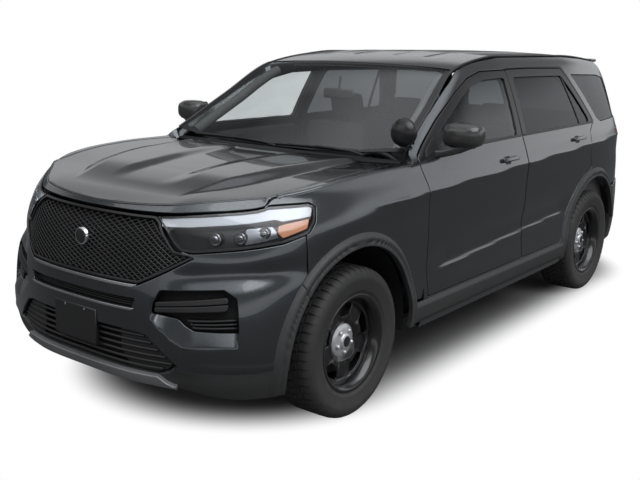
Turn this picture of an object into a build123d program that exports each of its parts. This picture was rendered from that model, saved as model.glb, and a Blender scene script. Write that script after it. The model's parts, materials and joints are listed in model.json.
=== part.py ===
"""Police patrol car: a five door utility as an assembly of named pieces."""
import os

from build123d import *

os.makedirs("parts", exist_ok=True)

# Axles and wheels
front_axle_x = 1608.0
wheelbase = 3025.0
rear_axle_x = front_axle_x - wheelbase
wheel_z = 380.0
wheel_y = 846.0
tyre_r = 380.0
tyre_half = 127.0
rim_r = 231.0
spindle_r = 32.0
running_fit = 0.05
arch_r = 482.0
house_r = 490.0
clad_r = 556.0

# Shut lines and sheet
shut = 9.0
least_solid = 20000.0
sheet = 5.0
door_deep = 110.0
door_slim = 45.0
ring_room = 11.0
fender_rear_x = 972.0
sill_z = 475.0
belt_z = 1240.0
load_floor_z = 626.0

# Depths into the side: under the belt, above it, and down from the roof edge
face_depth = (0.0, 0.0, 0.0)
sheet_depth = (sheet, sheet, sheet)
door_depth = (door_deep, door_slim, 36.0)
room_depth = (door_deep + ring_room, door_slim + ring_room, 46.0)
ring_depth = (190.0, 98.0, 76.0)

# Door hinges
hinge_y = 942.0
hinge_pin_r = 5.0
hinge_barrel_r = 10.0
front_hinge_x = 868.0
rear_hinge_x = -302.0

# Lower body: height, then half outline from the nose centre to the tail centre
HULL = [
    (230, [(2440, 0), (2420, 360), (2350, 600), (2210, 810), (2040, 905), (1608, 905), (950, 905),
           (-200, 905), (-1300, 905), (-1417, 905), (-1900, 880), (-2270, 790)]),
    (330, [(2494, 0), (2475, 360), (2400, 600), (2250, 830), (2060, 945), (1608, 958), (950, 958),
           (-200, 958), (-1300, 955), (-1417, 955), (-1900, 930), (-2270, 822)]),
    (470, [(2516, 0), (2492, 363), (2415, 610), (2260, 850), (2060, 960), (1608, 978), (950, 975),
           (-200, 978), (-1300, 978), (-1417, 978), (-1900, 950), (-2270, 842)]),
    (620, [(2519, 0), (2490, 363), (2405, 610), (2250, 845), (2050, 955), (1608, 972), (950, 962),
           (-200, 962), (-1300, 972), (-1417, 975), (-1900, 948), (-2270, 842)]),
    (850, [(2490, 0), (2450, 380), (2365, 580), (2210, 810), (2030, 935), (1608, 975), (950, 970),
           (-200, 972), (-1300, 976), (-1417, 976), (-1900, 945), (-2270, 822)]),
    (1000, [(2445, 0), (2400, 400), (2320, 570), (2170, 780), (1990, 925), (1608, 972), (950, 974),
            (-200, 980), (-1300, 978), (-1417, 976), (-1900, 942), (-2270, 817)]),
    (1060, [(2400, 0), (2350, 420), (2270, 580), (2130, 770), (1950, 905), (1608, 955), (950, 968),
            (-200, 978), (-1300, 976), (-1417, 974), (-1900, 940), (-2270, 812)]),
    (1160, [(2350, 0), (2300, 420), (2200, 580), (2050, 760), (1900, 870), (1608, 915), (950, 935),
            (-200, 955), (-1300, 965), (-1417, 963), (-1900, 930), (-2270, 790)]),
    (1240, [(2350, 0), (2300, 420), (2200, 580), (2050, 760), (1900, 860), (1608, 900), (950, 905),
            (-200, 925), (-1300, 935), (-1417, 933), (-1900, 905), (-2270, 755)]),
]
levels = [row[0] for row in HULL]

# Roof edge: x, half width, height of the edge, height of the centre
ROOF = [
    (1180, 868, 1178, 1215),
    (1060, 850, 1248, 1286),
    (700, 785, 1452, 1487),
    (320, 705, 1660, 1688),
    (0, 672, 1713, 1740),
    (-300, 657, 1736, 1757),
    (-1300, 655, 1734, 1755),
    (-2085, 622, 1690, 1716),
    (-2270, 600, 1665, 1690),
]

# Shape of the side above the belt: share of the height, share of the way in
TUMBLE = [(0.0, 0.0), (0.13, 0.09), (0.55, 0.42), (0.85, 0.70), (0.95, 0.82), (1.0, 1.0)]


def between(table, x, column):
    """Read one column of a table with falling x by straight lines."""
    if x >= table[0][0]:
        return float(table[0][column])
    for a, b in zip(table, table[1:]):
        if x >= b[0]:
            share = (x - b[0]) / (a[0] - b[0])
            return b[column] + share * (a[column] - b[column])
    return float(table[-1][column])


def outline(z):
    """Half outline of the lower body at one height."""
    z = min(max(z, levels[0]), levels[-1])
    low = max(i for i, level in enumerate(levels) if level <= z)
    low = min(low, len(levels) - 2)
    share = (z - levels[low]) / (levels[low + 1] - levels[low])
    below = HULL[low][1]
    above = HULL[low + 1][1]
    return [
        (p[0] + share * (q[0] - p[0]), p[1] + share * (q[1] - p[1]))
        for p, q in zip(below, above)
    ]


def side_low(x, z):
    """Half width of the lower body."""
    return between(outline(z), x, 1)


def contour(x, low, high, drop):
    """Section line of the side at one depth, bottom to roof edge, as (y, z)."""
    points = [(side_low(x, z) - low, z) for z in levels]
    y_base = points[-1][0] + low
    z_base = belt_z
    y_edge = between(ROOF, x, 1)
    z_edge = max(between(ROOF, x, 2), belt_z + 8.0)
    fall = drop * min(1.0, (z_edge - z_base) / 200.0)
    for up, inward in TUMBLE[1:-1]:
        y = y_base + inward * (y_edge - y_base) - high * (1.0 - 0.6 * inward)
        points.append((y, z_base + up * (z_edge - fall - z_base)))
    points.append((y_edge, z_edge - fall))
    return points


def side_slab(stations, outer_depth, inner_depth, rows=None):
    """Left side layer between two depths, lofted through upright sections."""
    with BuildPart() as slab:
        for x in stations:
            outer = contour(x, *outer_depth)[:rows]
            inner = contour(x, *inner_depth)[:rows]
            line = outer + list(reversed(inner))
            with BuildSketch(Plane.YZ.offset(x)):
                with BuildLine():
                    Polyline(*line, close=True)
                make_face()
        loft(ruled=True)
    return slab.part


def side_prism(points, y_from, y_to):
    """Block with a side view outline, between two distances from the middle."""
    with BuildPart() as block:
        with BuildSketch(Plane.XZ.offset(-y_from)):
            with BuildLine():
                Polyline(*points, close=True)
            make_face()
        extrude(amount=-(y_to - y_from))
    return block.part


def front_prism(points, x_from, x_to):
    """Block with a front view outline, as (y, z), between two x places."""
    with BuildPart() as block:
        with BuildSketch(Plane.YZ.offset(x_from)):
            with BuildLine():
                Polyline(*points, close=True)
            make_face()
        extrude(amount=x_to - x_from)
    return block.part


def top_prism(points, z_from, z_to):
    """Block with a plan outline between two heights."""
    with BuildPart() as block:
        with BuildSketch(Plane.XY.offset(z_from)):
            with BuildLine():
                Polyline(*points, close=True)
            make_face()
        extrude(amount=z_to - z_from)
    return block.part


def box(x0, x1, y0, y1, z0, z1):
    """Plain block by its limits."""
    with BuildPart() as block:
        with BuildSketch(Plane.XY.offset(z0)):
            with Locations(((x0 + x1) / 2, (y0 + y1) / 2)):
                Rectangle(x1 - x0, y1 - y0)
        extrude(amount=z1 - z0)
    return block.part


def cross_bar(x, z, radius, y0, y1):
    """Round bar across the car."""
    with BuildPart() as bar:
        with BuildSketch(Plane.XZ.offset(-y0)):
            with Locations((x, z)):
                Circle(radius)
        extrude(amount=-(y1 - y0))
    return bar.part


def post(x, y, radius, z0, z1):
    """Round upright bar."""
    with BuildPart() as bar:
        with BuildSketch(Plane.XY.offset(z0)):
            with Locations((x, y)):
                Circle(radius)
        extrude(amount=z1 - z0)
    return bar.part


def inset(points, depth):
    """Move a closed-over plan line inwards by one depth, corner by corner."""
    moved = []
    for i, (x, y) in enumerate(points):
        before = points[max(i - 1, 0)]
        after = points[min(i + 1, len(points) - 1)]
        ends = []
        for a, b in ((before, (x, y)), ((x, y), after)):
            length = ((b[0] - a[0]) ** 2 + (b[1] - a[1]) ** 2) ** 0.5
            if length > 0:
                ends.append(((b[1] - a[1]) / length, -(b[0] - a[0]) / length))
        nx = sum(e[0] for e in ends)
        ny = sum(e[1] for e in ends)
        size = (nx * nx + ny * ny) ** 0.5
        nx /= size
        ny /= size
        lean = nx * ends[0][0] + ny * ends[0][1]
        moved.append((x + nx * depth / lean, y + ny * depth / lean))
    return moved


def nose_line(z, x_end):
    """Plan line round the front from the left end to the right end."""
    half = outline(z)[:5]
    half.append((x_end, side_low(x_end, z)))
    left = [half[i] for i in range(len(half) - 1, -1, -1)]
    right = [(x, -y) for x, y in half[1:]]
    return left + right


def nose_shell(z_list, x_end, depth_out, depth_in):
    """Front skin between two depths."""
    with BuildPart() as shell:
        for z in z_list:
            line = nose_line(z, x_end)
            outer = inset(line, depth_out) if depth_out else line
            inner = inset(line, depth_in)
            with BuildSketch(Plane.XY.offset(z)):
                with BuildLine():
                    Polyline(*outer, *reversed(inner), close=True)
                make_face()
        loft(ruled=True)
    return shell.part


def tail_shell(z_list, depth):
    """Rear bumper skin: plan line from the left side round the tail."""
    with BuildPart() as shell:
        for z in z_list:
            side = side_low(-1900, z)
            corner = side_low(-2270, z)
            drop = 0.0 if z >= 330 else (330 - z) * 0.9
            line = [(-1900, -side), (-2270, -corner), (-2390 + drop, -720), (-2490 + drop, -450),
                    (-2525 + drop, 0), (-2490 + drop, 450), (-2390 + drop, 720), (-2270, corner),
                    (-1900, side)]
            inner = inset(line, depth)
            with BuildSketch(Plane.XY.offset(z)):
                with BuildLine():
                    Polyline(*line, *reversed(inner), close=True)
                make_face()
        loft(ruled=True)
    return shell.part


def save(part, name):
    part.label = name
    export_step(part, f"parts/{name}.step")



# Side stations, front to rear
side_x = [1090, 950, 700, 320, 0, -300, -1300, -1417, -1900, -2085, -2270]
door_x = [1060, 950, 700, 320, 0, -200, -300, -1300, -1417, -1600]

# Door outlines in side view, without the shut gap
front_door = [
    (972, 1084), (960, 900), (948, 620), (940, sill_z), (-222, sill_z), (-226, 1160), (-226, 1240),
    (-262, 1500), (-288, 1652), (60, 1648), (250, 1612), (430, 1541), (700, 1403), (1000, 1232),
    (1000, 1180),
]
rear_door = [
    (-231, sill_z), (-849, sill_z), (-862, 505), (-905, 640), (-985, 748), (-1095, 850),
    (-1215, 915), (-1345, 948), (-1318, 1010), (-1292, 1079), (-1312, 1207), (-1400, 1262),
    (-1412, 1290), (-1330, 1420), (-1200, 1600), (-1150, 1650), (-600, 1658), (-297, 1655),
    (-271, 1500), (-235, 1240), (-235, 1160),
]
front_glass_line = [
    (850, 1262), (700, 1362), (430, 1500), (262, 1572), (60, 1606), (-226, 1610), (-212, 1500),
    (-172, 1244), (300, 1232),
]
rear_glass_line = [
    (-275, 1250), (-312, 1500), (-335, 1612), (-960, 1610), (-1090, 1590), (-1190, 1440),
    (-1270, 1300), (-1262, 1276),
]
quarter_line = [(-1300, 1606), (-1860, 1590), (-2040, 1560), (-2110, 1440), (-2140, 1310),
                (-1560, 1282)]
lamp_line = [(-1366, 1044), (-1290, 925), (-1180, 908), (-900, 950), (-731, 993), (-684, 1090),
             (-900, 1068), (-1150, 1052)]
tail_lamp_line = [(-1880, 1190), (-2400, 1232), (-2400, 1105), (-2060, 1112)]


def grown(points, amount):
    """Outline moved outwards by an amount, corner by corner."""
    area = sum(a[0] * b[1] - b[0] * a[1] for a, b in zip(points, points[1:] + points[:1]))
    turn = 1.0 if area > 0 else -1.0
    moved = []
    count = len(points)
    for i in range(count):
        a = points[i - 1]
        b = points[i]
        c = points[(i + 1) % count]
        normals = []
        for p, q in ((a, b), (b, c)):
            length = ((q[0] - p[0]) ** 2 + (q[1] - p[1]) ** 2) ** 0.5
            normals.append((turn * (q[1] - p[1]) / length, -turn * (q[0] - p[0]) / length))
        nx = normals[0][0] + normals[1][0]
        ny = normals[0][1] + normals[1][1]
        size = (nx * nx + ny * ny) ** 0.5
        nx /= size
        ny /= size
        lean = max(nx * normals[0][0] + ny * normals[0][1], 0.35)
        moved.append((b[0] + nx * amount / lean, b[1] + ny * amount / lean))
    return moved


def door_leaf(stations, line, glass_line, hinge_x, rear_trim, waist):
    """Left door: thin skin, deep inner layer, window opening and hinge barrels."""
    skin = side_slab(stations, face_depth, sheet_depth)
    core = side_slab(stations, sheet_depth, door_depth)
    full = side_prism(line, 500, 1100)
    window = side_prism(glass_line, 500, 1100)
    lower = side_prism(
        [(hinge_x - 24, 400), (rear_trim, 400), (rear_trim, 1300), (hinge_x - 24, 1300)], 500, 1100
    )
    upper = side_prism([(1100, waist), (1100, 1750), (-1700, 1750), (-1700, waist)], 500, 1100)
    inner = side_prism(grown(line, -28), 500, 1100)
    with BuildPart() as body:
        add(core)
        add(full, mode=Mode.INTERSECT)
        add(inner, mode=Mode.INTERSECT)
        add(lower + upper, mode=Mode.INTERSECT)
    with BuildPart() as face:
        add(skin)
        add(full, mode=Mode.INTERSECT)
    with BuildPart() as leaf:
        add(body.part)
        add(face.part)
        for z in hinge_heights:
            add(post(hinge_x, hinge_y, hinge_barrel_r, z + 1, z + 31))
            add(box(hinge_x - 30, hinge_x, hinge_y - 8, hinge_y + 8, z + 1, z + 31))
        for z in hinge_heights:
            add(post(hinge_x, hinge_y, hinge_pin_r + running_fit, z - 20, z + 60),
                mode=Mode.SUBTRACT)
        add(window, mode=Mode.SUBTRACT)
    return leaf.part


hinge_heights = (640.0, 960.0)


def hinge_pins(hinge_x):
    """Body side half of the two lift-off hinges."""
    with BuildPart() as pins:
        for z in hinge_heights:
            add(box(hinge_x - 7, hinge_x + 7, 800, hinge_y, z - 24, z))
            add(post(hinge_x, hinge_y, 7, z - 24, z))
            add(post(hinge_x, hinge_y, hinge_pin_r, z, z + 34))
    return pins.part


# Doors and their glass
door_l = door_leaf([1060, 950, 700, 320, 0, -200, -300], front_door, front_glass_line, front_hinge_x,
                   -192, 1250)
door_r_l = door_leaf([-200, -300, -1300, -1417, -1600], rear_door, rear_glass_line, rear_hinge_x,
                     -1500, 1232)
glass_layer = side_slab(door_x, (12.0, 12.0, 8.0), (17.0, 17.0, 12.0))
with BuildPart() as glass_l:
    add(glass_layer)
    add(side_prism(front_glass_line, 500, 1100), mode=Mode.INTERSECT)
with BuildPart() as glass_r_l:
    add(glass_layer)
    add(side_prism(rear_glass_line, 500, 1100), mode=Mode.INTERSECT)

# Body side: pillars, rail, sill and quarter as one ring each side
gate_rear = [(-2270, 200), (-2270, 1160), (-2253, 1240), (-2169, 1450), (-2089, 1650),
             (-2085, 1660), (-2085, 1800)]
side_view = (
    [(1085, 330), (1085, 1200), (1040, 1262), (1040, 1800)] + list(reversed(gate_rear))
)
ring = side_slab(side_x, face_depth, ring_depth)
front_layer = side_slab([1090, 950, 700, 320, 0, -300, -1300], (-40.0, -40.0, -20.0), sheet_depth)
front_view = [(1200, 200), (1200, 1202), (1040, 1262), (850, 1262), (300, 1590), (-180, 1640),
              (-600, 1640), (-1100, 1600), (-1200, 1300), (-1200, 200)]
door_zone = side_slab(door_x, (-60.0, -60.0, -40.0), room_depth)
with BuildPart() as tail_lamp:
    add(side_slab([-1800, -1900, -2085, -2270], face_depth, (60.0, 60.0, 40.0)))
    add(side_prism(tail_lamp_line, 400, 1200), mode=Mode.INTERSECT)
    add(side_prism(side_view, 400, 1200), mode=Mode.INTERSECT)
front_open = side_prism(grown(front_door, shut), 400, 1200)
rear_open = side_prism(grown(rear_door, shut), 400, 1200)
through_front = [(848, 560), (848, 1190), (838, 1270), (430, 1500), (262, 1585), (60, 1618),
                 (-190, 1622), (-178, 1244), (-160, 560)]
through_rear = [(-345, 560), (-350, 1244), (-375, 1622), (-1060, 1620), (-1140, 1575),
                (-1262, 1400), (-1330, 1282), (-1235, 1190), (-1235, 1000), (-1040, 900),
                (-860, 760), (-800, 560)]
front_cut = door_zone & front_open
rear_cut = door_zone & rear_open
sill_front = front_layer & side_prism(front_view, 400, 1200)
with BuildPart() as body_side:
    add(ring)
    add(side_prism(side_view, 400, 1200), mode=Mode.INTERSECT)
    add(sill_front, mode=Mode.SUBTRACT)
    add(front_cut, mode=Mode.SUBTRACT)
    add(rear_cut, mode=Mode.SUBTRACT)
    add(side_prism(through_front, 300, 1200), mode=Mode.SUBTRACT)
    add(side_prism(through_rear, 300, 1200), mode=Mode.SUBTRACT)
    add(side_prism(quarter_line, 300, 1200), mode=Mode.SUBTRACT)
    add(box(-3000, 1200, 300, 1200, 100, 262), mode=Mode.SUBTRACT)
    add(cross_bar(rear_axle_x, wheel_z, house_r, 300, 1200), mode=Mode.SUBTRACT)
    add(box(-2300, -1885, 300, 1200, 200, 760), mode=Mode.SUBTRACT)
    add(tail_lamp.part, mode=Mode.SUBTRACT)
    add(box(990, 1100, 600, 832, 1105, 1230), mode=Mode.SUBTRACT)
    add(post(front_hinge_x, hinge_y, 128, 1238, 1266), mode=Mode.SUBTRACT)
    for x in (front_hinge_x, rear_hinge_x):
        add(hinge_pins(x))


def save_pair(part, name):
    """Left and right copies as one file."""
    whole = [solid for solid in part.solids() if solid.volume > least_solid]
    pair = Compound(children=whole + [mirror(solid, about=Plane.XZ) for solid in whole])
    save(pair, name)


def save_left_right(part, left, right):
    """Left piece and its mirror image as two files."""
    save(part, left)
    save(mirror(part, about=Plane.XZ), right)


save_pair(body_side.part, "body_sides")
save_pair(tail_lamp.part, "tail_lamps")
body_side_right = mirror(body_side.part, about=Plane.XZ)
save_left_right(door_l, "door_front_left", "door_front_right")
save_left_right(door_r_l, "door_rear_left", "door_rear_right")
save_left_right(glass_l.part, "glass_front_left", "glass_front_right")
save_left_right(glass_r_l.part, "glass_rear_left", "glass_rear_right")

# Quarter windows, seated in the side
with BuildPart() as quarter:
    add(side_slab([-1200, -1300, -1417, -1900, -2085, -2270], (12.0, 12.0, 8.0), (18.0, 18.0, 12.0)))
    add(side_prism(quarter_line, 400, 1200), mode=Mode.INTERSECT)
save_pair(quarter.part, "quarter_windows")

# Opening for the head lamp, cut square to its own face
diagonal = Plane(origin=(0, 0, 0), x_dir=(-1, 1, 0), z_dir=(1, 1, 0))
with BuildPart() as lamp_block:
    with BuildSketch(diagonal.offset(1700)):
        with BuildLine():
            Polyline(*lamp_line, close=True)
        make_face()
    extrude(amount=700)

# Front fenders
fender_x = [2040, 1900, 1608, 950]
fender_line = [
    (fender_rear_x + shut, 1084), (948 + shut, sill_z), (1200, sill_z), (1990, 700),
    (1962, 993), (1880, 1084), (1860, 1163), (1600, 1186), (1330, 1200), (1085, 1206), (1085, 1200),
    (1000 + shut, 1206),
]
with BuildPart() as fender:
    add(side_slab(fender_x, face_depth, sheet_depth, len(levels)))
    add(side_prism(fender_line, 500, 1100), mode=Mode.INTERSECT)
    add(cross_bar(front_axle_x, wheel_z, arch_r, 300, 1200), mode=Mode.SUBTRACT)
    add(lamp_block.part, mode=Mode.SUBTRACT)
save_pair(fender.part, "front_fenders")

# Holes for the plate's two bolts, through bracket and skin
with BuildPart() as plate_holes:
    with BuildSketch(Plane.YZ.offset(2400)):
        with Locations((-89, 585), (89, 585)):
            Circle(3.5)
    extrude(amount=200)
plate_bolts = plate_holes.part

# Front bumper skin with its openings
grille_line = [(425, 1030), (525, 915), (612, 888), (382, 757), (-382, 757), (-612, 888), (-525, 915),
               (-425, 1030)]
slot_line = [(375, 672), (363, 640), (-363, 640), (-375, 672)]
intake_line = [(330, 600), (300, 420), (-300, 420), (-330, 600)]
pocket_line = [(430, 715), (700, 712), (722, 552), (590, 575)]
bumper_seam = [(2600, 200), (2600, 1044), (1962, 1044), (1962, 993), (1990, 700), (1990, 200)]
shell_z = [236, 330, 470, 620, 850, 1000, 1060]
with BuildPart() as bumper:
    add(nose_shell(shell_z, 1850, 0.0, 12.0))
    add(side_prism(bumper_seam, -1200, 1200), mode=Mode.INTERSECT)
    add(front_prism(grille_line, 2000, 2700), mode=Mode.SUBTRACT)
    add(front_prism(slot_line, 2200, 2700), mode=Mode.SUBTRACT)
    add(front_prism(intake_line, 2200, 2700), mode=Mode.SUBTRACT)
    add(front_prism(pocket_line, 2000, 2700), mode=Mode.SUBTRACT)
    add(mirror(front_prism(pocket_line, 2000, 2700), about=Plane.XZ), mode=Mode.SUBTRACT)
    add(lamp_block.part, mode=Mode.SUBTRACT)
    add(mirror(lamp_block.part, about=Plane.XZ), mode=Mode.SUBTRACT)
    for y in (-1200, 300):
        add(cross_bar(front_axle_x, wheel_z, arch_r, y, y + 900), mode=Mode.SUBTRACT)
    add(plate_bolts, mode=Mode.SUBTRACT)
save(bumper.part, "front_bumper")

# Dark inserts behind the openings: grille, slot, intake and pockets as one piece
grille_holes = []
for row in range(9):
    z = 772 + row * 29.0
    half = 372 if z < 800 else (540 if z < 960 else 440)
    count = int(half // 44)
    for i in range(-count, count + 1):
        y = i * 44.0 + (22.0 if row % 2 else 0.0)
        if abs(y) < half - 24:
            grille_holes.append((y, z))
with BuildPart() as grille:
    add(nose_shell([400, 470, 620, 850, 1000, 1060], 1850, 12.0, 20.0))
    add(front_prism([(745, 1034), (745, 405), (-745, 405), (-745, 1034)], 2100, 2700), mode=Mode.INTERSECT)
    with BuildSketch(Plane.YZ.offset(2100)):
        with Locations(*grille_holes):
            RegularPolygon(13, 6)
    extrude(amount=600, mode=Mode.SUBTRACT)
    add(lamp_block.part, mode=Mode.SUBTRACT)
    add(mirror(lamp_block.part, about=Plane.XZ), mode=Mode.SUBTRACT)
    add(plate_bolts, mode=Mode.SUBTRACT)
save(grille.part, "grille")

# Head lamps, filling their openings
with BuildPart() as lamp:
    add(nose_shell([850, 1000, 1060, 1160], 1700, 0.0, 70.0))
    add(lamp_block.part, mode=Mode.INTERSECT)
save_pair(lamp.part, "headlamps")

# Rear bumper
with BuildPart() as rear_bumper:
    add(tail_shell([262, 330, 470, 620, 760], 14.0))
    add(cross_bar(rear_axle_x, wheel_z, arch_r, -1200, 1200), mode=Mode.SUBTRACT)
save(rear_bumper.part, "rear_bumper")

# Roof between the side rails
gate_hinge_x = -2090.0
gate_hinge_z = 1703.0
roof_x = [320, 0, -300, -1300, -2085]
with BuildPart() as roof:
    for x in roof_x:
        half = between(ROOF, x, 1)
        edge = between(ROOF, x, 2)
        mid = between(ROOF, x, 3)
        quarter_z = edge + 0.8 * (mid - edge)
        with BuildSketch(Plane.YZ.offset(x)):
            with BuildLine():
                Polyline((-half, edge), (-half * 0.6, quarter_z), (0, mid), (half * 0.6, quarter_z),
                         (half, edge), (half, edge - 28), (half * 0.6, quarter_z - 28), (0, mid - 28),
                         (-half * 0.6, quarter_z - 28), (-half, edge - 28), close=True)
            make_face()
    loft(ruled=True)
    for y in (-480, 480):
        add(box(-2100, gate_hinge_x + 14, y - 35, y + 35, 1600, 1800), mode=Mode.SUBTRACT)
        add(box(gate_hinge_x, gate_hinge_x + 16, y - 32, y - 1, gate_hinge_z - 10, gate_hinge_z + 6))
        add(cross_bar(gate_hinge_x, gate_hinge_z, 7, y - 32, y - 1))
        add(cross_bar(gate_hinge_x, gate_hinge_z, 5, y - 10, y + 32))
save(roof.part, "roof")

# Windscreen
with BuildPart() as windscreen:
    for x in (1180, 1060, 700, 320):
        half = between(ROOF, x, 1)
        edge = between(ROOF, x, 2)
        mid = between(ROOF, x, 3)
        mid_z = edge + 0.75 * (mid - edge)
        with BuildSketch(Plane.YZ.offset(x)):
            with BuildLine():
                Polyline((-half, edge), (-half * 0.6, mid_z), (0, mid), (half * 0.6, mid_z),
                         (half, edge), (half, edge - 8), (half * 0.6, mid_z - 8), (0, mid - 8),
                         (-half * 0.6, mid_z - 8), (-half, edge - 8), close=True)
            make_face()
    loft(ruled=True)
    add(top_prism([(100, -900), (1060, -900), (1060, -830), (1120, -600), (1160, -300), (1170, 0),
                   (1160, 300), (1120, 600), (1060, 830), (1060, 900), (100, 900)], 1000, 1800),
        mode=Mode.INTERSECT)
    add(body_side.part, mode=Mode.SUBTRACT)
    add(body_side_right, mode=Mode.SUBTRACT)
save(windscreen.part, "windscreen")

# Hood
HOOD = [
    (2412, 1074, 1058, 1012), (2200, 1116, 1104, 1066), (2019, 1150, 1148, 1128),
    (1807, 1187, 1182, 1170), (1600, 1205, 1204, 1192), (1330, 1225, 1222, 1203),
    (1020, 1240, 1234, 1200),
]
hood_plan = [(2406, 0), (2338, 421), (2192, 650), (2070, 776), (2034, 796), (1807, 862), (1330, 874),
             (1118, 850), (1150, 700), (1188, 400), (1197, 0)]
with BuildPart() as hood:
    for x, mid, half, edge in HOOD:
        with BuildSketch(Plane.YZ.offset(x)):
            with BuildLine():
                Polyline((-900, edge), (-450, half), (0, mid), (450, half), (900, edge),
                         (900, edge - 18), (450, half - 18), (0, mid - 18), (-450, half - 18),
                         (-900, edge - 18), close=True)
            make_face()
    loft(ruled=True)
    add(top_prism(hood_plan + [(x, -y) for x, y in reversed(hood_plan[1:-1])], 900, 1400),
        mode=Mode.INTERSECT)
    for y in (-780, 780):
        add(box(1040, 1200, y - 15, y + 15, 1150, 1176))
        add(box(1130, 1200, y - 15, y + 15, 1150, 1200))
        add(cross_bar(1040, 1163, 13, y - 15, y + 15))
        add(cross_bar(1040, 1163, 6 + running_fit, y - 40, y + 40), mode=Mode.SUBTRACT)
save(hood.part, "hood")

# Lift gate
GATE = [
    (766, -2462, -2436, -2330, 790, -2279), (1000, -2430, -2402, -2322, 788, -2279),
    (1160, -2402, -2372, -2315, 775, -2279), (1240, -2380, -2350, -2300, 752, -2262),
    (1450, -2290, -2262, -2215, 675, -2178), (1650, -2200, -2175, -2130, 600, -2098),
    (1700, -2190, -2165, -2125, 585, -2096),
]
gate_window = [(560, 1270), (470, 1600), (-470, 1600), (-560, 1270)]


def gate_shell(out, into):
    with BuildPart() as shell:
        for z, mid, half, edge, side, inner in GATE:
            front = inner if into is None else None
            with BuildSketch(Plane.XY.offset(z)):
                with BuildLine():
                    if into is None:
                        Polyline((edge + out, side), (half + out, 500), (mid + out, 0), (half + out, -500),
                                 (edge + out, -side), (front, -side), (front, side), close=True)
                    else:
                        Polyline((edge + out, side), (half + out, 500), (mid + out, 0), (half + out, -500),
                                 (edge + out, -side), (edge + into, -side), (half + into, -500),
                                 (mid + into, 0), (half + into, 500), (edge + into, side), close=True)
                make_face()
        loft(ruled=True)
    return shell.part


with BuildPart() as gate:
    add(gate_shell(0.0, None))
    add(box(-2310, -2095, -585, 585, 1680, 1704))
    add(front_prism(gate_window, -2700, -1900), mode=Mode.SUBTRACT)
    for y in (-480, 480):
        add(box(-2106, -2080, y - 38, y + 38, 1640, 1740), mode=Mode.SUBTRACT)
        add(box(-2115, gate_hinge_x, y + 1, y + 31, 1688, 1703))
        add(cross_bar(gate_hinge_x, gate_hinge_z, 8, y + 1, y + 31))
        add(cross_bar(gate_hinge_x, gate_hinge_z, 5 + running_fit, y - 40, y + 40), mode=Mode.SUBTRACT)
save(gate.part, "liftgate")
with BuildPart() as gate_glass:
    add(gate_shell(8.0, 13.0))
    add(front_prism(gate_window, -2700, -1900), mode=Mode.INTERSECT)
save(gate_glass.part, "liftgate_glass")

# Wheels: tyre and steel rim, made at the left front and copied
with BuildPart() as tyre:
    with BuildSketch(Plane.XY):
        with BuildLine():
            Polyline((rim_r, -100), (rim_r + 40, -122), (rim_r + 95, -tyre_half), (tyre_r - 26, -120),
                     (tyre_r - 4, -100), (tyre_r, -60), (tyre_r, 60), (tyre_r - 4, 100),
                     (tyre_r - 26, 120), (rim_r + 95, tyre_half), (rim_r + 40, 122), (rim_r, 100),
                     close=True)
        make_face()
    revolve(axis=Axis.Y)
with BuildPart() as rim:
    with BuildSketch(Plane.XY):
        with BuildLine():
            Polyline((spindle_r + running_fit, -60), (70, -60), (78, 52), (150, 60), (190, 40), (214, 30),
                     (218, -100), (rim_r, -100), (rim_r, 100), (218, 100), (212, 52), (190, 62),
                     (150, 82), (84, 76), (80, 104), (0, 106), (0, 62), (spindle_r + running_fit, 62),
                     close=True)
        make_face()
    revolve(axis=Axis.Y)
    with BuildSketch(Plane.XZ.offset(-200)):
        with PolarLocations(158, 5, start_angle=90):
            SlotOverall(86, 40, rotation=90)
    extrude(amount=400, mode=Mode.SUBTRACT)
corners = {
    "front_left": (front_axle_x, 1), "front_right": (front_axle_x, -1),
    "rear_left": (rear_axle_x, 1), "rear_right": (rear_axle_x, -1),
}
for name, (x, side) in corners.items():
    for piece, label in ((tyre.part, "tyre"), (rim.part, "rim")):
        placed = Pos(x, wheel_y, wheel_z) * piece
        if side < 0:
            placed = mirror(placed, about=Plane.XZ)
        save(placed, f"{label}_{name}")

# Steered knuckles
kingpin_y = 700.0
kingpin_r = 15.0
with BuildPart() as knuckle:
    add(cross_bar(front_axle_x, wheel_z, spindle_r, 735, wheel_y + 58))
    add(cross_bar(front_axle_x, wheel_z, 60, 735, 775))
    add(box(front_axle_x - 30, front_axle_x + 30, 672, 740, 280, 480))
    add(post(front_axle_x, kingpin_y, kingpin_r, 240, 520))
save_left_right(knuckle.part, "knuckle_left", "knuckle_right")

# Front suspension and subframe
with BuildPart() as front_axle:
    add(box(1380, 1900, -330, 330, 230, 300))
    for side in (-1, 1):
        y0 = min(side * 320, side * 730)
        add(box(front_axle_x - 60, front_axle_x + 60, y0, y0 + 410, 236, 272))
        low = min(side * 560, side * 730)
        add(box(front_axle_x - 45, front_axle_x + 45, low, low + 170, 488, 530))
        add(post(front_axle_x, side * 600, 38, 262, 900))
        add(post(front_axle_x, side * kingpin_y, kingpin_r + running_fit, 200, 560), mode=Mode.SUBTRACT)
save(front_axle.part, "front_axle")

with BuildPart() as rear_axle:
    add(box(rear_axle_x - 170, rear_axle_x + 170, -400, 400, 330, 400))
    for side in (-1, 1):
        y0 = min(side * 380, side * 740)
        add(box(rear_axle_x - 40, rear_axle_x + 40, y0, y0 + 360, 300, 440))
        a = min(side * 735, side * (wheel_y + 58))
        add(cross_bar(rear_axle_x, wheel_z, spindle_r, a, a + wheel_y + 58 - 735))
        add(post(rear_axle_x, side * 340, 38, 400, 590))
save(rear_axle.part, "rear_axle")

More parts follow.
